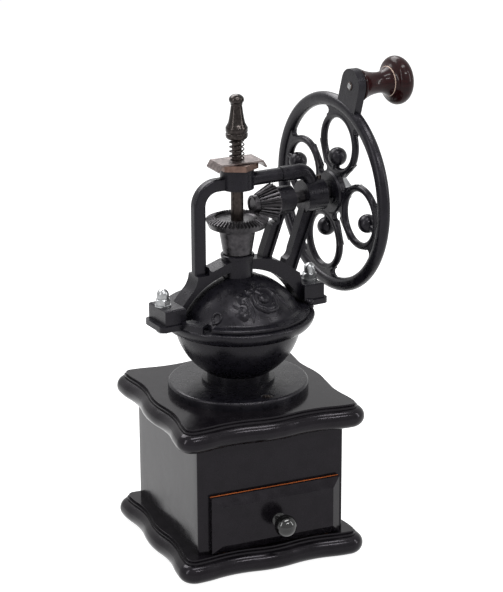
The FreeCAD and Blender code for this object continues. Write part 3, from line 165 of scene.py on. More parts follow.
finishes = {
    "castIron": {"dark": (0.0030, 0.0029, 0.0042), "light": (0.0065, 0.0060, 0.0085), "rough": (0.24, 0.34),
                 "grain": 1300, "grainDepth": 0.00005, "swell": 90, "swellDepth": 0.00022, "specular": 0.19,
                 "tint": (0.97, 0.93, 1.0)},
    "lacquer": {"dark": (0.0032, 0.0027, 0.0036), "light": (0.0062, 0.0054, 0.0068), "rough": (0.14, 0.22),
                "grain": 420, "grainDepth": 0.00002, "swell": 45, "swellDepth": 0.00010, "specular": 0.16,
                "tint": (0.97, 0.91, 1.0)},
    "ballLacquer": {"dark": (0.004, 0.004, 0.004), "light": (0.006, 0.006, 0.006), "rough": (0.07, 0.11),
                    "grain": 300, "grainDepth": 0.000004, "swell": 60, "swellDepth": 0.00004},
    "gearSteel": {"dark": (0.022, 0.021, 0.023), "light": (0.058, 0.054, 0.058), "rough": (0.26, 0.38),
                  "grain": 1500, "grainDepth": 0.00003, "swell": 120, "swellDepth": 0.0001, "metal": 0.85},
    "gunmetal": {"dark": (0.019, 0.0165, 0.0155), "light": (0.044, 0.038, 0.036), "rough": (0.16, 0.26),
                 "grain": 1700, "grainDepth": 0.00001, "swell": 200, "swellDepth": 0.00004, "metal": 1.0},
    "darkSteel": {"dark": (0.020, 0.016, 0.015), "light": (0.05, 0.04, 0.036), "rough": (0.28, 0.4),
                  "grain": 1700, "grainDepth": 0.00001, "swell": 160, "swellDepth": 0.00005, "metal": 0.9},
    "zinc": {"dark": (0.20, 0.205, 0.21), "light": (0.34, 0.345, 0.35), "rough": (0.26, 0.38),
             "grain": 1500, "grainDepth": 0.00001, "swell": 160, "swellDepth": 0.00006, "metal": 1.0},
    "plateBronze": {"dark": (0.085, 0.068, 0.065), "light": (0.18, 0.15, 0.145), "rough": (0.28, 0.42),
                    "grain": 1500, "grainDepth": 0.00002, "swell": 110, "swellDepth": 0.00009, "metal": 1.0},
    "nutBronze": {"dark": (0.085, 0.055, 0.045), "light": (0.17, 0.11, 0.09), "rough": (0.26, 0.38),
                  "grain": 1500, "grainDepth": 0.00002, "swell": 110, "swellDepth": 0.00006, "metal": 1.0},
}


def finish(name):
    # colour and roughness vary with blotches about three times finer than the swell,
    # and the slow swell and the fine grain make the bump
    f = finishes[name]
    material, tree, shader, coords = newMaterial(name)
    slow = addNoise(tree, coords, f["swell"], 2.0)
    fine = addNoise(tree, coords, f["grain"], 4.0)
    blotch = addNoise(tree, coords, f["swell"] * 3.1, 4.0)
    colour = addMix(tree, addRange(tree, blotch, 0, 1), f["dark"], f["light"])
    tree.links.new(colour, shader.inputs["Base Color"])
    tree.links.new(addRange(tree, blotch, *f["rough"]), shader.inputs["Roughness"])
    shader.inputs["Metallic"].default_value = f.get("metal", 0.0)
    shader.inputs["Specular IOR Level"].default_value = f.get("specular", 0.5)
    shader.inputs["Specular Tint"].default_value = (*f.get("tint", (1, 1, 1)), 1)
    swell = addBump(tree, shader, slow, f["swellDepth"])
    addBump(tree, shader, fine, f["grainDepth"], swell)
    return material


(castIron, lacquer, ballLacquer, gearSteel, gunmetal, darkSteel, zinc, plateBronze,
 nutBronze) = (finish(name) for name in finishes)

woodLook = {"dark": (0.30, 0.125, 0.045), "light": (0.52, 0.25, 0.105), "rough": (0.5, 0.72),
            "rings": 190, "ringStretch": (0.12, 0.12, 1.0), "warp": 5.0, "warpDetail": 2.0,
            "pores": 1500, "poreStretch": (0.08, 0.08, 1.0), "poreDepth": 0.00006}


def rawWood(name):
    # rings: a wave across the board warped by noise; pores: noise drawn out along the grain
    material, tree, shader, coords = newMaterial(name)
    wave = tree.nodes.new("ShaderNodeTexWave")
    wave.inputs["Scale"].default_value = woodLook["rings"]
    wave.inputs["Distortion"].default_value = woodLook["warp"]
    wave.inputs["Detail"].default_value = woodLook["warpDetail"]
    mapping = tree.nodes.new("ShaderNodeMapping")
    mapping.inputs["Scale"].default_value = woodLook["ringStretch"]
    tree.links.new(coords, mapping.inputs["Vector"])
    tree.links.new(mapping.outputs["Vector"], wave.inputs["Vector"])
    pores = addNoise(tree, coords, woodLook["pores"], 3.0, woodLook["poreStretch"])
    colour = addMix(tree, wave.outputs["Fac"], woodLook["dark"], woodLook["light"])
    tree.links.new(colour, shader.inputs["Base Color"])
    tree.links.new(addRange(tree, pores, *woodLook["rough"]), shader.inputs["Roughness"])
    addBump(tree, shader, pores, woodLook["poreDepth"])
    return material


paleWood = rawWood("paleWood")

frontLook = {"rawFrom": -0.05505, "rawAbove": 0.05590, "raw": (0.40, 0.105, 0.030)}


def drawerFrontFinish():
    # lacquer, but bare wood where y > rawFrom and z > rawAbove: the upper rear edge of the front
    material = lacquer.copy()
    material.name = "drawerFrontLacquer"
    tree = material.node_tree
    shader = tree.nodes["Principled BSDF"]
    coords = next(n for n in tree.nodes if n.type == "TEX_COORD").outputs["Object"]
    split = tree.nodes.new("ShaderNodeSeparateXYZ")
    tree.links.new(coords, split.inputs[0])
    masks = []
    for axis, limit in (("Y", frontLook["rawFrom"]), ("Z", frontLook["rawAbove"])):
        over = tree.nodes.new("ShaderNodeMath")
        over.operation = "GREATER_THAN"
        over.inputs[1].default_value = limit
        tree.links.new(split.outputs[axis], over.inputs[0])
        masks.append(over.outputs[0])
    both = tree.nodes.new("ShaderNodeMath")
    both.operation = "MULTIPLY"
    tree.links.new(masks[0], both.inputs[0])
    tree.links.new(masks[1], both.inputs[1])
    painted = shader.inputs["Base Color"].links[0].from_socket
    tree.links.new(addMix(tree, both.outputs[0], painted, frontLook["raw"]), shader.inputs["Base Color"])
    return material


drawerFrontLacquer = drawerFrontFinish()

# the pale colour and its place lineAt, in mm along the knob, are a painted highlight: a light band standing
# for the glint in the knob's cut groove
knobLook = {"dark": (0.007, 0.0012, 0.0015), "light": (0.017, 0.0022, 0.0027), "rough": 0.34,
            "specular": 0.06, "coat": 0.18, "coatRough": 0.05, "grain": 900, "grainStretch": (0.12, 1.0, 1.0),
            "grainDepth": 0.00001, "line": (0.45, 0.34, 0.28), "lineAt": (21.9, 22.25)}
knobAxis = Vector((turnCos, turnSin, 0))
knobStart = 75.25     # of the knob along the shaft's direction, in mm


def knobFinish():
    # long grain along the knob's axis, and a thin pale band of painted highlight where the place along the
    # axis is in lineAt: the cut groove is real geometry, and its pale colour is painted to stand for the
    # groove's glint
    material, tree, shader, coords = newMaterial("redLacquer")
    along = tree.nodes.new("ShaderNodeVectorMath")
    along.operation = "DOT_PRODUCT"
    along.inputs[1].default_value = knobAxis
    tree.links.new(coords, along.inputs[0])
    grain = addNoise(tree, coords, knobLook["grain"], 4.0, knobLook["grainStretch"])
    colour = addMix(tree, addRange(tree, grain, 0, 1), knobLook["dark"], knobLook["light"])
    highlightBand = tree.nodes.new("ShaderNodeMath")
    highlightBand.operation = "COMPARE"
    lineFrom, lineTo = knobLook["lineAt"]
    highlightBand.inputs[1].default_value = (knobStart + (lineFrom + lineTo) / 2) / 1000
    highlightBand.inputs[2].default_value = (lineTo - lineFrom) / 2000
    tree.links.new(along.outputs["Value"], highlightBand.inputs[0])
    # painted highlight: the pale band laid over the grain where the groove catches the light
    colour = addMix(tree, highlightBand.outputs[0], colour, knobLook["line"])
    tree.links.new(colour, shader.inputs["Base Color"])
    shader.inputs["Roughness"].default_value = knobLook["rough"]
    shader.inputs["Specular IOR Level"].default_value = knobLook["specular"]
    shader.inputs["Coat Weight"].default_value = knobLook["coat"]
    shader.inputs["Coat Roughness"].default_value = knobLook["coatRough"]
    addBump(tree, shader, grain, knobLook["grainDepth"])
    return material


redLacquer = knobFinish()
print("materials made")


# The CAD nodes keep their shape and get their finish

dressing = {"weldReach": 0.000002, "sharpAngle": 28}   # metres and degrees

dressed = {
    castIron: ["mounting_flange", "hopper_bowl", "bowl_rim", "rear_cover", "hopper_lid", "yoke_frame",
               "drive_wheel", "lid_knob"],
    lacquer: ["foot_board", "top_board", "front_panel", "back_panel", "left_panel", "right_panel"],
    ballLacquer: ["drawer_knob"],
    drawerFrontLacquer: ["drawer_front"],
    paleWood: ["drawer_left_side", "drawer_right_side", "drawer_back", "drawer_bottom"],
    gearSteel: ["crown_gear", "bevel_pinion", "drive_shaft", "inner_burr", "outer_burr"],
    darkSteel: ["spindle", "oil_cup", "handle_bolt", "handle_washer"],
    gunmetal: ["finial_nut", "tension_spring"],
    zinc: ["yoke_bolts", "yoke_washers", "yoke_cap_nuts", "drawer_knob_screw", "flange_screws",
           "wheel_washer", "wheel_nut"],
    plateBronze: ["lock_plate"],
    nutBronze: ["adjusting_nut"],
    redLacquer: ["handle_knob"],
}
for material, names in dressed.items():
    for name in names:
        node = nodes[name]
        node.data.materials.clear()
        node.data.materials.append(material)
        node.data.polygons.foreach_set("use_smooth", np.ones(len(node.data.polygons), bool))
        weld = node.modifiers.new("weld", "WELD")
        weld.merge_threshold = dressing["weldReach"]
        sharpen(node, dressing["sharpAngle"])
print("nodes dressed")


# Lid: cast leaf and scroll ornament, and the small curl at its left end

domeLook = {"radius": 46.0, "centre": 138.5}


def onDome(u, v, height, azimuth, elevation):
    # the dome's point under (u, v) mm on the plane that touches it at azimuth and elevation,
    # seen from the dome's centre, and lifted by height
    a, e = math.radians(azimuth), math.radians(elevation)
    out = np.array([math.cos(e) * math.cos(a), math.cos(e) * math.sin(a), math.sin(e)])
    right = np.array([-math.sin(a), math.cos(a), 0.0])
    up = np.cross(out, right)
    p = out * domeLook["radius"] + u[..., None] * right + v[..., None] * up
    p = p / np.linalg.norm(p, axis=-1, keepdims=True) * (domeLook["radius"] + height[..., None])
    return p + np.array([0, 0, domeLook["centre"]])


# places on the lid are (u, v) in mm about the azimuth and elevation in place; lobes are x, y, radius, height
# and petals; leaves are three points of a curve, width and height

relief = {
    "place": (-84.0, 48.0), "left": -27.0, "right": 24.0, "bottom": -14.0, "top": 20.0, "step": 0.24,
    "sunk": 0.35, "thick": 0.5,
    "wheelOuter": (1.0, 1.9, 10.2), "wheelInner": (0.7, 3.8, 6.4), "wheelHeight": 2.0,
    "bead": (0.2, 3.2, 4.0, 2.2), "bridge": (104.0, 24.0),
    "lobes": [(-13.2, 7.2, 5.4, 1.7, 5), (-18.9, -3.0, 5.7, 1.7, 4), (-7.0, 12.2, 2.6, 1.0, 3)],
    "pit": (-17.0, -0.8, 1.9),
    "leaves": [((-12.4, 4.0), (-11.0, -3.0), (-14.2, -11.0), 2.3, 1.7),
               ((-3.5, 13.0), (-0.5, 17.0), (4.5, 15.5), 1.9, 0.9),
               ((13.6, 4.4), (18.0, -1.0), (20.6, -9.2), 2.9, 1.2),
               ((9.0, 11.5), (13.5, 11.0), (16.5, 6.0), 1.3, 0.8),
               ((-20.0, 2.6), (-22.5, 4.0), (-23.6, 7.6), 1.5, 0.9)],
}


def rounded(x):
    # quarter circle profile: 0 below 0, 1 from 1 up
    x = np.clip(x, 0, 1)
    return np.sqrt(x * (2 - x))


def leafHeight(u, v, leaf):
    # along a curve through three points the width swells and tapers like a sine,
    # and the height falls off to the sides as a quarter circle, with a groove along the middle
    start, middle, end, width, height = leaf
    t = np.linspace(0, 1, 28)
    path = [(1 - t) ** 2 * start[k] + 2 * t * (1 - t) * middle[k] + t ** 2 * end[k] for k in (0, 1)]
    best = np.zeros_like(u)
    for x, y, q in zip(path[0], path[1], t):
        half = width * (0.35 + 0.65 * math.sin(math.pi * min(1, 0.2 + q * 0.8)))
        away = np.hypot(u - x, v - y) / half
        best = np.maximum(best, rounded((1 - away) * 1.6) * height * (1 - 0.35 * q))
    spine = np.full_like(u, 1e9)
    for x, y in zip(path[0], path[1]):
        spine = np.minimum(spine, np.hypot(u - x, v - y))
    return best * (1 - 0.28 * np.exp(-(spine / 0.45) ** 2))


def lobeHeight(u, v, lobe):
    # a cushion whose radius waves with the angle, petals times
    x, y, radius, height, petals = lobe
    angle = np.arctan2(v - y, u - x)
    reach = radius * (1 + 0.10 * np.cos(petals * angle + 0.6))
    away = np.hypot(u - x, v - y) / reach
    return rounded((1 - away) * 1.5) * height * (0.82 + 0.18 * np.cos(np.clip(away, 0, 1) * math.pi))


def reliefHeight(u, v):
    # the largest of: a rolled ring between two circles, a bead in it, lobes, and leaves
    x, y, radius = relief["wheelOuter"]
    angle = np.arctan2(v - y, u - x)
    edge = radius * (1 + 0.018 * np.cos(7 * angle + 0.8)) - np.hypot(u - x, v - y)
    x, y, radius = relief["wheelInner"]
    hollow = np.hypot(u - x, v - y) - radius
    height = relief["wheelHeight"] * np.minimum(rounded(edge / 2.3), rounded(hollow / 1.7))
    height = height * (1 - 0.16 * np.exp(-((edge - 2.4) / 0.5) ** 2))
    x, y, radius, rise = relief["bead"]
    away = np.hypot(u - x, v - y)
    height = np.maximum(height, rise * rounded((1 - away / radius) * 1.5))
    turned = (np.degrees(np.arctan2(v - y, u - x)) - relief["bridge"][0] + 180) % 360 - 180
    bridge = rounded(1 - np.abs(turned) / relief["bridge"][1]) * (away < 7.5) * (away > 2)
    height = np.maximum(height, 1.5 * bridge)
    for lobe in relief["lobes"]:
        height = np.maximum(height, lobeHeight(u, v, lobe))
    x, y, radius = relief["pit"]
    height = height * (1 - 0.8 * rounded((1 - np.hypot(u - x, v - y) / radius) * 1.4))
    for leaf in relief["leaves"]:
        height = np.maximum(height, leafHeight(u, v, leaf))
    return height


def makeRelief():
    # closed sheet: the lifted front, and a back just under it inside the lid's wall
    us = np.arange(relief["left"], relief["right"], relief["step"])
    vs = np.arange(relief["bottom"], relief["top"], relief["step"])
    u, v = np.meshgrid(us, vs, indexing="ij")
    height = reliefHeight(u, v) - relief["sunk"]
    front = onDome(u, v, height, *relief["place"])
    piece = gridPiece("lid_relief", placeHead(front), False, False, castIron, "lid")
    solid = piece.modifiers.new("wall", "SOLIDIFY")
    solid.thickness = relief["thick"] / 1000
    solid.offset = -1


def tubePoints(path, radius, sides, up):
    # circles of the given radius across a path, one for each of its points; up is any direction across it
    ahead = np.gradient(path, axis=0)
    ahead /= np.linalg.norm(ahead, axis=1, keepdims=True)
    side = np.cross(ahead, up)
    side /= np.linalg.norm(side, axis=1, keepdims=True)
    normal = np.cross(side, ahead)
    t = np.linspace(0, 2 * math.pi, sides, endpoint=False)
    radius = np.broadcast_to(radius, (len(path),))
    ring = np.cos(t)[None, :, None] * side[:, None] + np.sin(t)[None, :, None] * normal[:, None]
    return path[:, None] + ring * radius[:, None, None]


curl = {"place": (-138.0, 35.0), "centre": (-1.45, 0.75), "half": (2.9, 3.6), "lean": 12.0, "bar": 0.85,
        "tail": (-3.3, -4.3), "lift": 0.15}


def makeCurl():
    # the path runs from the tail up round an ellipse, nearly closed, and ends inside it
    t = np.linspace(-100, 262, 90) * math.pi / 180
    lean = math.radians(curl["lean"])
    x = curl["half"][0] * np.cos(t) * (1 - 0.12 * (t - t[0]) / 6.3)
    y = curl["half"][1] * np.sin(t) * (1 - 0.12 * (t - t[0]) / 6.3)
    u = curl["centre"][0] + x * math.cos(lean) + y * math.sin(lean)
    v = curl["centre"][1] - x * math.sin(lean) + y * math.cos(lean)
    q = np.linspace(0, 1, 22)[:-1]
    u = np.concatenate([curl["tail"][0] + (u[0] - curl["tail"][0]) * q, u])
    v = np.concatenate([curl["tail"][1] + (v[0] - curl["tail"][1]) * q ** 0.8, v])
    path = onDome(u, v, np.full_like(u, curl["lift"]), *curl["place"])
    out = path - np.array([0, 0, domeLook["centre"]])
    out /= np.linalg.norm(out, axis=1, keepdims=True)
    n = len(u)
    taper = np.minimum(1, np.minimum(np.arange(n), np.arange(n)[::-1]) / 6 + 0.001)
    points = tubePoints(path, curl["bar"] * np.sqrt(taper * (2 - taper)), 14, out)
    gridPiece("lid_curl", placeHead(points), False, True, castIron, "lid")


makeRelief()
makeCurl()
print("lid ornament made")


# Crank handle: turned red knob and the peened square end of its bolt

crank = {"angle": 108.0, "radius": 79.5}   # of the bolt about the shaft, in degrees and mm
crankY = crank["radius"] * math.cos(math.radians(crank["angle"]))
crankZ = shaftHeight + crank["radius"] * math.sin(math.radians(crank["angle"]))


def crestArc(crest, end, count):
    # arc from crest, where it runs along the axis, to end: both on a circle of radius (dx2 + dr2) / 2dr
    along, drop = end[0] - crest[0], end[1] - crest[1]
    radius = (along ** 2 + drop ** 2) / (2 * drop)
    t = np.linspace(0, math.asin(along / radius), count)
    return np.stack([crest[0] + radius * np.sin(t), crest[1] + radius * (1 - np.cos(t))], -1)


def turnedPiece(name, profile, sides, centre, material, body):
    # a profile of (place along +X, radius) turned about an axis along the shaft through centre
    t = np.linspace(0, 2 * math.pi, sides, endpoint=False)
    x = np.broadcast_to(profile[:, None, 0], (len(profile), sides)) + centre[0]
    y = centre[1] + profile[:, None, 1] * np.cos(t)
    z = centre[2] + profile[:, None, 1] * np.sin(t)
    points = placeHead(np.stack([x, y, z], -1))
    return gridPiece(name, points, False, True, material, body)


# foot to nose are (place along the axis, radius) in mm

knob = {"foot": (1.2, 10.4), "neck": (15.0, 6.8), "join": (24.0, 12.8), "bulge": (28.5, 15.8),
        "nose": (35.0, 7.5), "bore": 2.6, "lineAt": 22.1, "lineWide": 0.22, "lineDeep": 0.22, "recess": 1.2,
        "rivet": 5.0, "sides": 128}


def makeKnob():
    # foot bead, hollow neck, round head and a small recess at the end, with a fine cut line
    foot, neck, join, bulge, nose = (knob[k] for k in ("foot", "neck", "join", "bulge", "nose"))
    bead = np.radians(np.linspace(-90, 0, 10))
    bottom = nose[0] - knob["recess"]
    parts = [
        np.array([[0.0, knob["bore"]]]),
        np.stack([foot[0] + foot[0] * np.sin(bead), foot[1] - 0.9 + 0.9 * np.cos(bead)], -1),
        crestArc(neck, foot, 60)[::-1],
        crestArc(neck, join, 90)[1:],
        crestArc(bulge, join, 40)[::-1][1:],
        crestArc(bulge, nose, 60)[1:],
        np.array([[nose[0], knob["rivet"] + 0.5], [nose[0] - 0.3, knob["rivet"]],
                  [bottom, knob["rivet"] - 0.2], [bottom, knob["bore"]]]),
    ]
    profile = np.concatenate(parts)
    cut = np.exp(-((profile[:, 0] - knob["lineAt"]) / knob["lineWide"]) ** 2)
    profile[:, 1] -= knob["lineDeep"] * cut * (profile[:, 1] > 6)
    piece = turnedPiece("turned_knob", profile, knob["sides"], (knobStart, crankY, crankZ), redLacquer,
                        "handle")
    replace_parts(piece, "handle_knob")


peen = {"half": 1.75, "high": 0.45, "square": 3.2, "turn": 28.0, "at": 68.25, "sunk": 0.35, "sides": 40}


def makePeen():
    # squarish button: its outline is a superellipse, and its height falls off with the cube of the way out
    t = np.linspace(0, 2 * math.pi, peen["sides"], endpoint=False)
    size = np.concatenate([np.linspace(0, 1, 12) ** 0.7, [1.0]])
    power = peen["square"]
    shape = 1 / (np.abs(np.cos(t)) ** power + np.abs(np.sin(t)) ** power) ** (1 / power)
    r = peen["half"] * size[:, None] * shape[None, :]
    depth = peen["high"] * (1 - size ** 3)
    depth[-1] = -peen["sunk"]
    turned = t + math.radians(peen["turn"])
    x = np.broadcast_to((peen["at"] - depth)[:, None], r.shape)
    y = crankY + r * np.cos(turned)
    z = crankZ + r * np.sin(turned)
    gridPiece("bolt_peen", placeHead(np.stack([x, y, z], -1)), False, True, zinc, "drive")


makeKnob()
makePeen()
print("crank handle made")


# Screws of the mounting flange, with a cross recess, and the thread of the drive shaft

screw = {"circle": 38.7, "top": 112.0, "head": 4.0, "headDeep": 2.4, "sunk": 0.35, "dome": 0.3,
         "crossLong": 2.5, "crossWide": 0.62, "crossDeep": 1.5, "shank": 1.9, "length": 15.0, "point": 2.0,
         "sides": 96, "turns": (24.0, 63.0)}


def makeScrew(side, turn, name):
    # polar grid: slightly domed face with a cross cut out, then the cone, shank and point
    head, shank, top = screw["head"], screw["shank"], screw["top"]
    t = np.linspace(0, 2 * math.pi, screw["sides"], endpoint=False)
    r = np.concatenate([np.linspace(poleRadius, head - 0.1, 40), [head - 0.02, shank, shank, poleRadius]])
    face = np.arange(len(r)) < 41
    rr, tt = np.meshgrid(r, t, indexing="ij")
    z = np.full_like(rr, top - screw["sunk"])
    a, b = np.abs(rr * np.cos(tt)), np.abs(rr * np.sin(tt))
    arm = np.minimum(np.maximum(a / screw["crossLong"], b / screw["crossWide"]),
                     np.maximum(b / screw["crossLong"], a / screw["crossWide"]))
    cut = screw["crossDeep"] * np.clip((1 - arm) * 3.2, 0, 1) * (1 - rr / screw["crossLong"] * 0.55)
    z += face[:, None] * (screw["dome"] * (1 - (rr / head) ** 2) - cut)
    end = top - screw["length"]
    z[41], z[42], z[43] = top - screw["headDeep"], end + screw["point"], end
    turned = tt + math.radians(turn)
    points = np.stack([rr * np.cos(turned), side * screw["circle"] + rr * np.sin(turned), z], -1)
    return gridPiece(name, placeHead(points), False, True, darkSteel, "mill")


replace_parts(makeScrew(-1, screw["turns"][0], "flange_screw_front"), "flange_screws")
makeScrew(1, screw["turns"][1], "flange_screw_rear")

thread = {"from": 64.75, "to": 67.95, "pitch": 1.0, "root": 3.7, "crest": 4.55, "inner": 3.4, "sides": 64}


def makeThread():
    # radius of the outside: a triangle wave of (place / pitch - turn), root to crest; closed by an inner tube
    n = thread["sides"]
    t = np.linspace(0, 2 * math.pi, n, endpoint=False)
    x = np.linspace(thread["from"], thread["to"], 60)
    xx, tt = np.meshgrid(x, t, indexing="ij")
    wave = np.abs(((xx / thread["pitch"] - tt / (2 * math.pi)) % 1) * 2 - 1)
    r = thread["root"] + (thread["crest"] - thread["root"]) * wave
    xx = np.concatenate([xx, np.full((1, n), thread["to"]), np.full((1, n), thread["from"])])
    r = np.concatenate([r, np.full((2, n), thread["inner"])])
    tt = np.broadcast_to(t, r.shape)
    points = np.stack([xx, r * np.cos(tt), shaftHeight + r * np.sin(tt)], -1)
    gridPiece("shaft_thread", placeHead(points), True, True, gearSteel, "drive")


makeThread()
print("screws and thread made")


# Finial, and the spring under it

spring = {"bottom": 260.2, "top": 276.3, "radius": 4.6, "wire": 0.45, "bend": 0.9, "end": 0.4, "turns": 4.5,
          "lift": 3.0, "sides": 16}   # lift: how far the lock plate rises


def springEnd(tip, before, limit, sign):
    # from the tip of the helix a quarter bend up or down, then straight to the limit
    way = (tip - before) * (1, 1, 0)
    side = way / np.linalg.norm(way)
    t = np.linspace(0, math.pi / 2, 9)[1:, None]
    up = np.array([0, 0, sign])
    bend = tip + spring["bend"] * (np.sin(t) * side + (1 - np.cos(t)) * up)
    straight = [(bend[-1][0], bend[-1][1], limit - sign * back) for back in (0.2, 0.02, 0.0)]
    return np.concatenate([bend, straight])


def makeSpring():
    # wire round a helix, x and y on a circle and z rising evenly with the angle, with an upright end at
    # each tip; the wire shrinks to a pole at its two ends
    low = spring["bottom"] + spring["end"] + spring["bend"]
    high = spring["top"] - spring["end"] - spring["bend"]
    q = np.linspace(0, 1, 265)
    angle = 2 * math.pi * spring["turns"] * q
    radius = spring["radius"]
    coil = np.stack([radius * np.cos(angle), radius * np.sin(angle), low + (high - low) * q], -1)
    foot = springEnd(coil[0], coil[1], spring["bottom"], -1)
    head = springEnd(coil[-1], coil[-2], spring["top"], 1)
    path = np.concatenate([foot[::-1], coil, head])
    out = path * (1, 1, 0)
    out /= np.linalg.norm(out, axis=1, keepdims=True)
    wire = np.full(len(path), spring["wire"])
    wire[[0, -1]] = poleRadius
    points = placeHead(tubePoints(path, wire, spring["sides"], out))
    piece = gridPiece("wound_spring", points, False, True, gunmetal, "burr_spindle")
    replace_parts(piece, "tension_spring")
    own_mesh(piece)


makeSpring()

finial = {"bottom": 273.9, "pocket": 5.4, "pocketDeep": 2.4, "band": 7.15, "groove": 0.5, "shoulder": 10.4,
          "ball": (4.9, 3.55), "ballZ": 299.4, "ballSweep": (0.001, 2.22), "coneTop": 295.9,
          "cone": (3.62, 5.56), "sides": 96, "sharpAngle": 32}


def makeFinial():
    # turned about Z from the top down: flat ball, fine collar, hollow cone, shoulder, grooved band and pocket
    wide, high = finial["ball"]
    t = np.linspace(*finial["ballSweep"], 40)
    ball = np.stack([wide * np.sin(t), finial["ballZ"] + high * np.cos(t)], -1)
    q = np.linspace(0, 1, 24)
    foot, band, coneTop = finial["bottom"], finial["band"], finial["coneTop"]
    neck, coneFoot = finial["cone"]
    cone = np.stack([neck + (coneFoot - neck) * (0.72 * q + 0.28 * q ** 3),
                     coneTop + (foot + finial["shoulder"] - coneTop) * q], -1)
    groove, pocketTop = band - finial["groove"], foot + finial["pocketDeep"]
    rest = np.array([
        (band - 0.35, foot + 8.25), (band - 0.08, foot + 7.85), (band, foot + 7.4), (band, foot + 5.2),
        (band - 0.1, foot + 4.9), (groove, foot + 4.55), (groove, foot + 4.2), (band - 0.1, foot + 3.85),
        (band, foot + 3.5), (band, foot + 1.9), (band - 0.3, foot + 1.0), (band - 0.9, foot + 0.3),
        (band - 1.3, foot), (finial["pocket"], foot), (finial["pocket"], pocketTop), (poleRadius, pocketTop)])
    collar = np.array([(neck + 0.28, coneTop + 0.85), (neck + 0.33, coneTop + 0.6),
                       (neck + 0.23, coneTop + 0.3), (neck + 0.04, coneTop + 0.1)])
    profile = np.concatenate([ball, collar, cone, rest])
    around = np.linspace(0, 2 * math.pi, finial["sides"], endpoint=False)
    z = np.broadcast_to(profile[:, None, 1], (len(profile), finial["sides"]))
    points = np.stack([profile[:, None, 0] * np.cos(around), profile[:, None, 0] * np.sin(around), z], -1)
    piece = gridPiece("turned_finial", placeHead(points), False, True, gunmetal, "burr_spindle")
    sharpen(piece, finial["sharpAngle"])
    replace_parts(piece, "finial_nut")


makeFinial()
print("spring and finial made")


# Floor, light and camera

stageLook = {"floor": 0.80, "seenFloor": 0.34, "glow": 0.93, "floorSize": 9.0, "floorZ": -0.0003,
             "world": 0.10}


def seenDirectly(tree):
    # 1 for the camera, for reflections and for light through glass, else 0
    rays = tree.nodes.new("ShaderNodeLightPath")
    total = rays.outputs["Is Camera Ray"]
    for kind in ("Is Glossy Ray", "Is Transmission Ray"):
        add = tree.nodes.new("ShaderNodeMath")
        add.operation = "ADD"
        add.use_clamp = True
        tree.links.new(total, add.inputs[0])
        tree.links.new(rays.outputs[kind], add.inputs[1])
        total = add.outputs[0]
    return total


def makeFloor():
    # to the camera and to reflections the floor is nearly white and keeps the soft shadow
    mesh = bpy.data.meshes.new("floor")
    half, z = stageLook["floorSize"] / 2, stageLook["floorZ"]
    corners = [(-half, -half, z), (half, -half, z), (half, half, z), (-half, half, z)]
    mesh.from_pydata(corners, [], [(0, 1, 2, 3)])
    floor = bpy.data.objects.new("floor", mesh)
    bpy.context.scene.collection.objects.link(floor)
    material = bpy.data.materials.new("paleFloor")
    material.use_nodes = True
    tree = material.node_tree
    tree.nodes.clear()
    out = tree.nodes.new("ShaderNodeOutputMaterial")
    matt = tree.nodes.new("ShaderNodeBsdfDiffuse")
    matt.inputs["Color"].default_value = (stageLook["floor"],) * 3 + (1,)
    seen = tree.nodes.new("ShaderNodeBsdfDiffuse")
    seen.inputs["Color"].default_value = (stageLook["seenFloor"],) * 3 + (1,)
    glow = tree.nodes.new("ShaderNodeEmission")
    glow.inputs["Color"].default_value = (1, 1, 1, 1)
    glow.inputs["Strength"].default_value = stageLook["glow"]
    both = tree.nodes.new("ShaderNodeAddShader")
    tree.links.new(seen.outputs[0], both.inputs[0])
    tree.links.new(glow.outputs[0], both.inputs[1])
    mix = tree.nodes.new("ShaderNodeMixShader")
    tree.links.new(seenDirectly(tree), mix.inputs[0])
    tree.links.new(matt.outputs[0], mix.inputs[1])
    tree.links.new(both.outputs[0], mix.inputs[2])
    tree.links.new(mix.outputs[0], out.inputs[0])
    mesh.materials.append(material)


makeFloor()

# places and sizes in metres

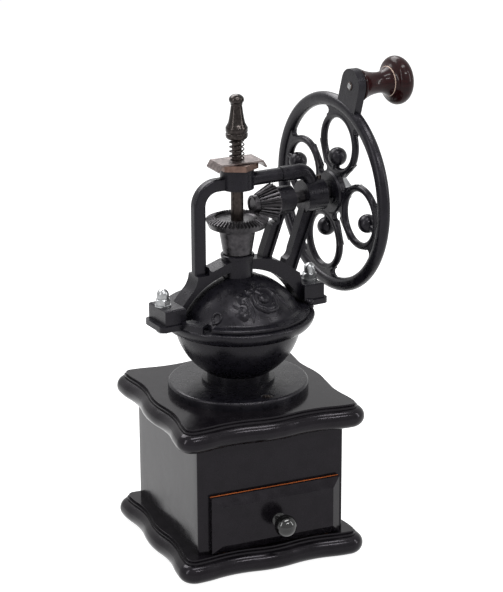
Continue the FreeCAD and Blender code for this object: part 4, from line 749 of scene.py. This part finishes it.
lamps = {
    "topBox": {"at": (0.05, -0.35, 1.40), "size": (0.9, 0.20), "watts": 10},
    "backBox": {"at": (-0.15, 0.80, 1.15), "size": (1.4, 0.60), "watts": 24},
    "frontBox": {"at": (0.15, -1.30, 1.35), "size": (0.9, 0.10), "watts": 10},
    "leftBox": {"at": (-1.25, -0.35, 0.75), "size": (0.15, 1.0), "watts": 6},
    "rightBox": {"at": (1.15, -0.75, 0.70), "size": (0.12, 1.0), "watts": 6},
}
aim = Vector((0.02, 0, 0.15))
for name, lamp in lamps.items():
    light = bpy.data.lights.new(name, "AREA")
    light.shape = "RECTANGLE"
    light.size, light.size_y = lamp["size"]
    light.energy = lamp["watts"]
    holder = bpy.data.objects.new(name, light)
    bpy.context.scene.collection.objects.link(holder)
    holder.location = lamp["at"]
    holder.rotation_mode = "QUATERNION"
    holder.rotation_quaternion = (aim - Vector(lamp["at"])).to_track_quat("-Z", "Y")

world = bpy.data.worlds.new("studio")
bpy.context.scene.world = world
world.use_nodes = True
sky = world.node_tree.nodes["Background"]
sky.inputs["Color"].default_value = (1, 1, 1, 1)
level = world.node_tree.nodes.new("ShaderNodeMapRange")
level.inputs["To Min"].default_value = stageLook["world"]
level.inputs["To Max"].default_value = 1.0
world.node_tree.links.new(seenDirectly(world.node_tree), level.inputs["Value"])
world.node_tree.links.new(level.outputs["Result"], sky.inputs["Strength"])

bpy.context.scene.view_settings.view_transform = "Standard"

# fitted to the box's corners and boards as photographed: place and directions in metres, lens in mm

cameraLook = {"at": (-0.490067, -1.163408, 0.590952), "right": (0.918270, -0.395937, -0.003853),
              "up": (0.128940, 0.289815, 0.948357), "back": (-0.374373, -0.871345, 0.317180), "lens": 124.48}
cameraData = bpy.data.cameras.new("camera")
cameraData.lens = cameraLook["lens"]
cameraData.sensor_width = 36
cameraData.clip_start, cameraData.clip_end = 0.05, 30
camera = bpy.data.objects.new("camera", cameraData)
bpy.context.scene.collection.objects.link(camera)
turn = Matrix([cameraLook["right"], cameraLook["up"], cameraLook["back"]]).transposed().to_4x4()
camera.matrix_world = Matrix.Translation(cameraLook["at"]) @ turn
bpy.context.scene.camera = camera
print("stage set")

bpy.context.view_layer.update()
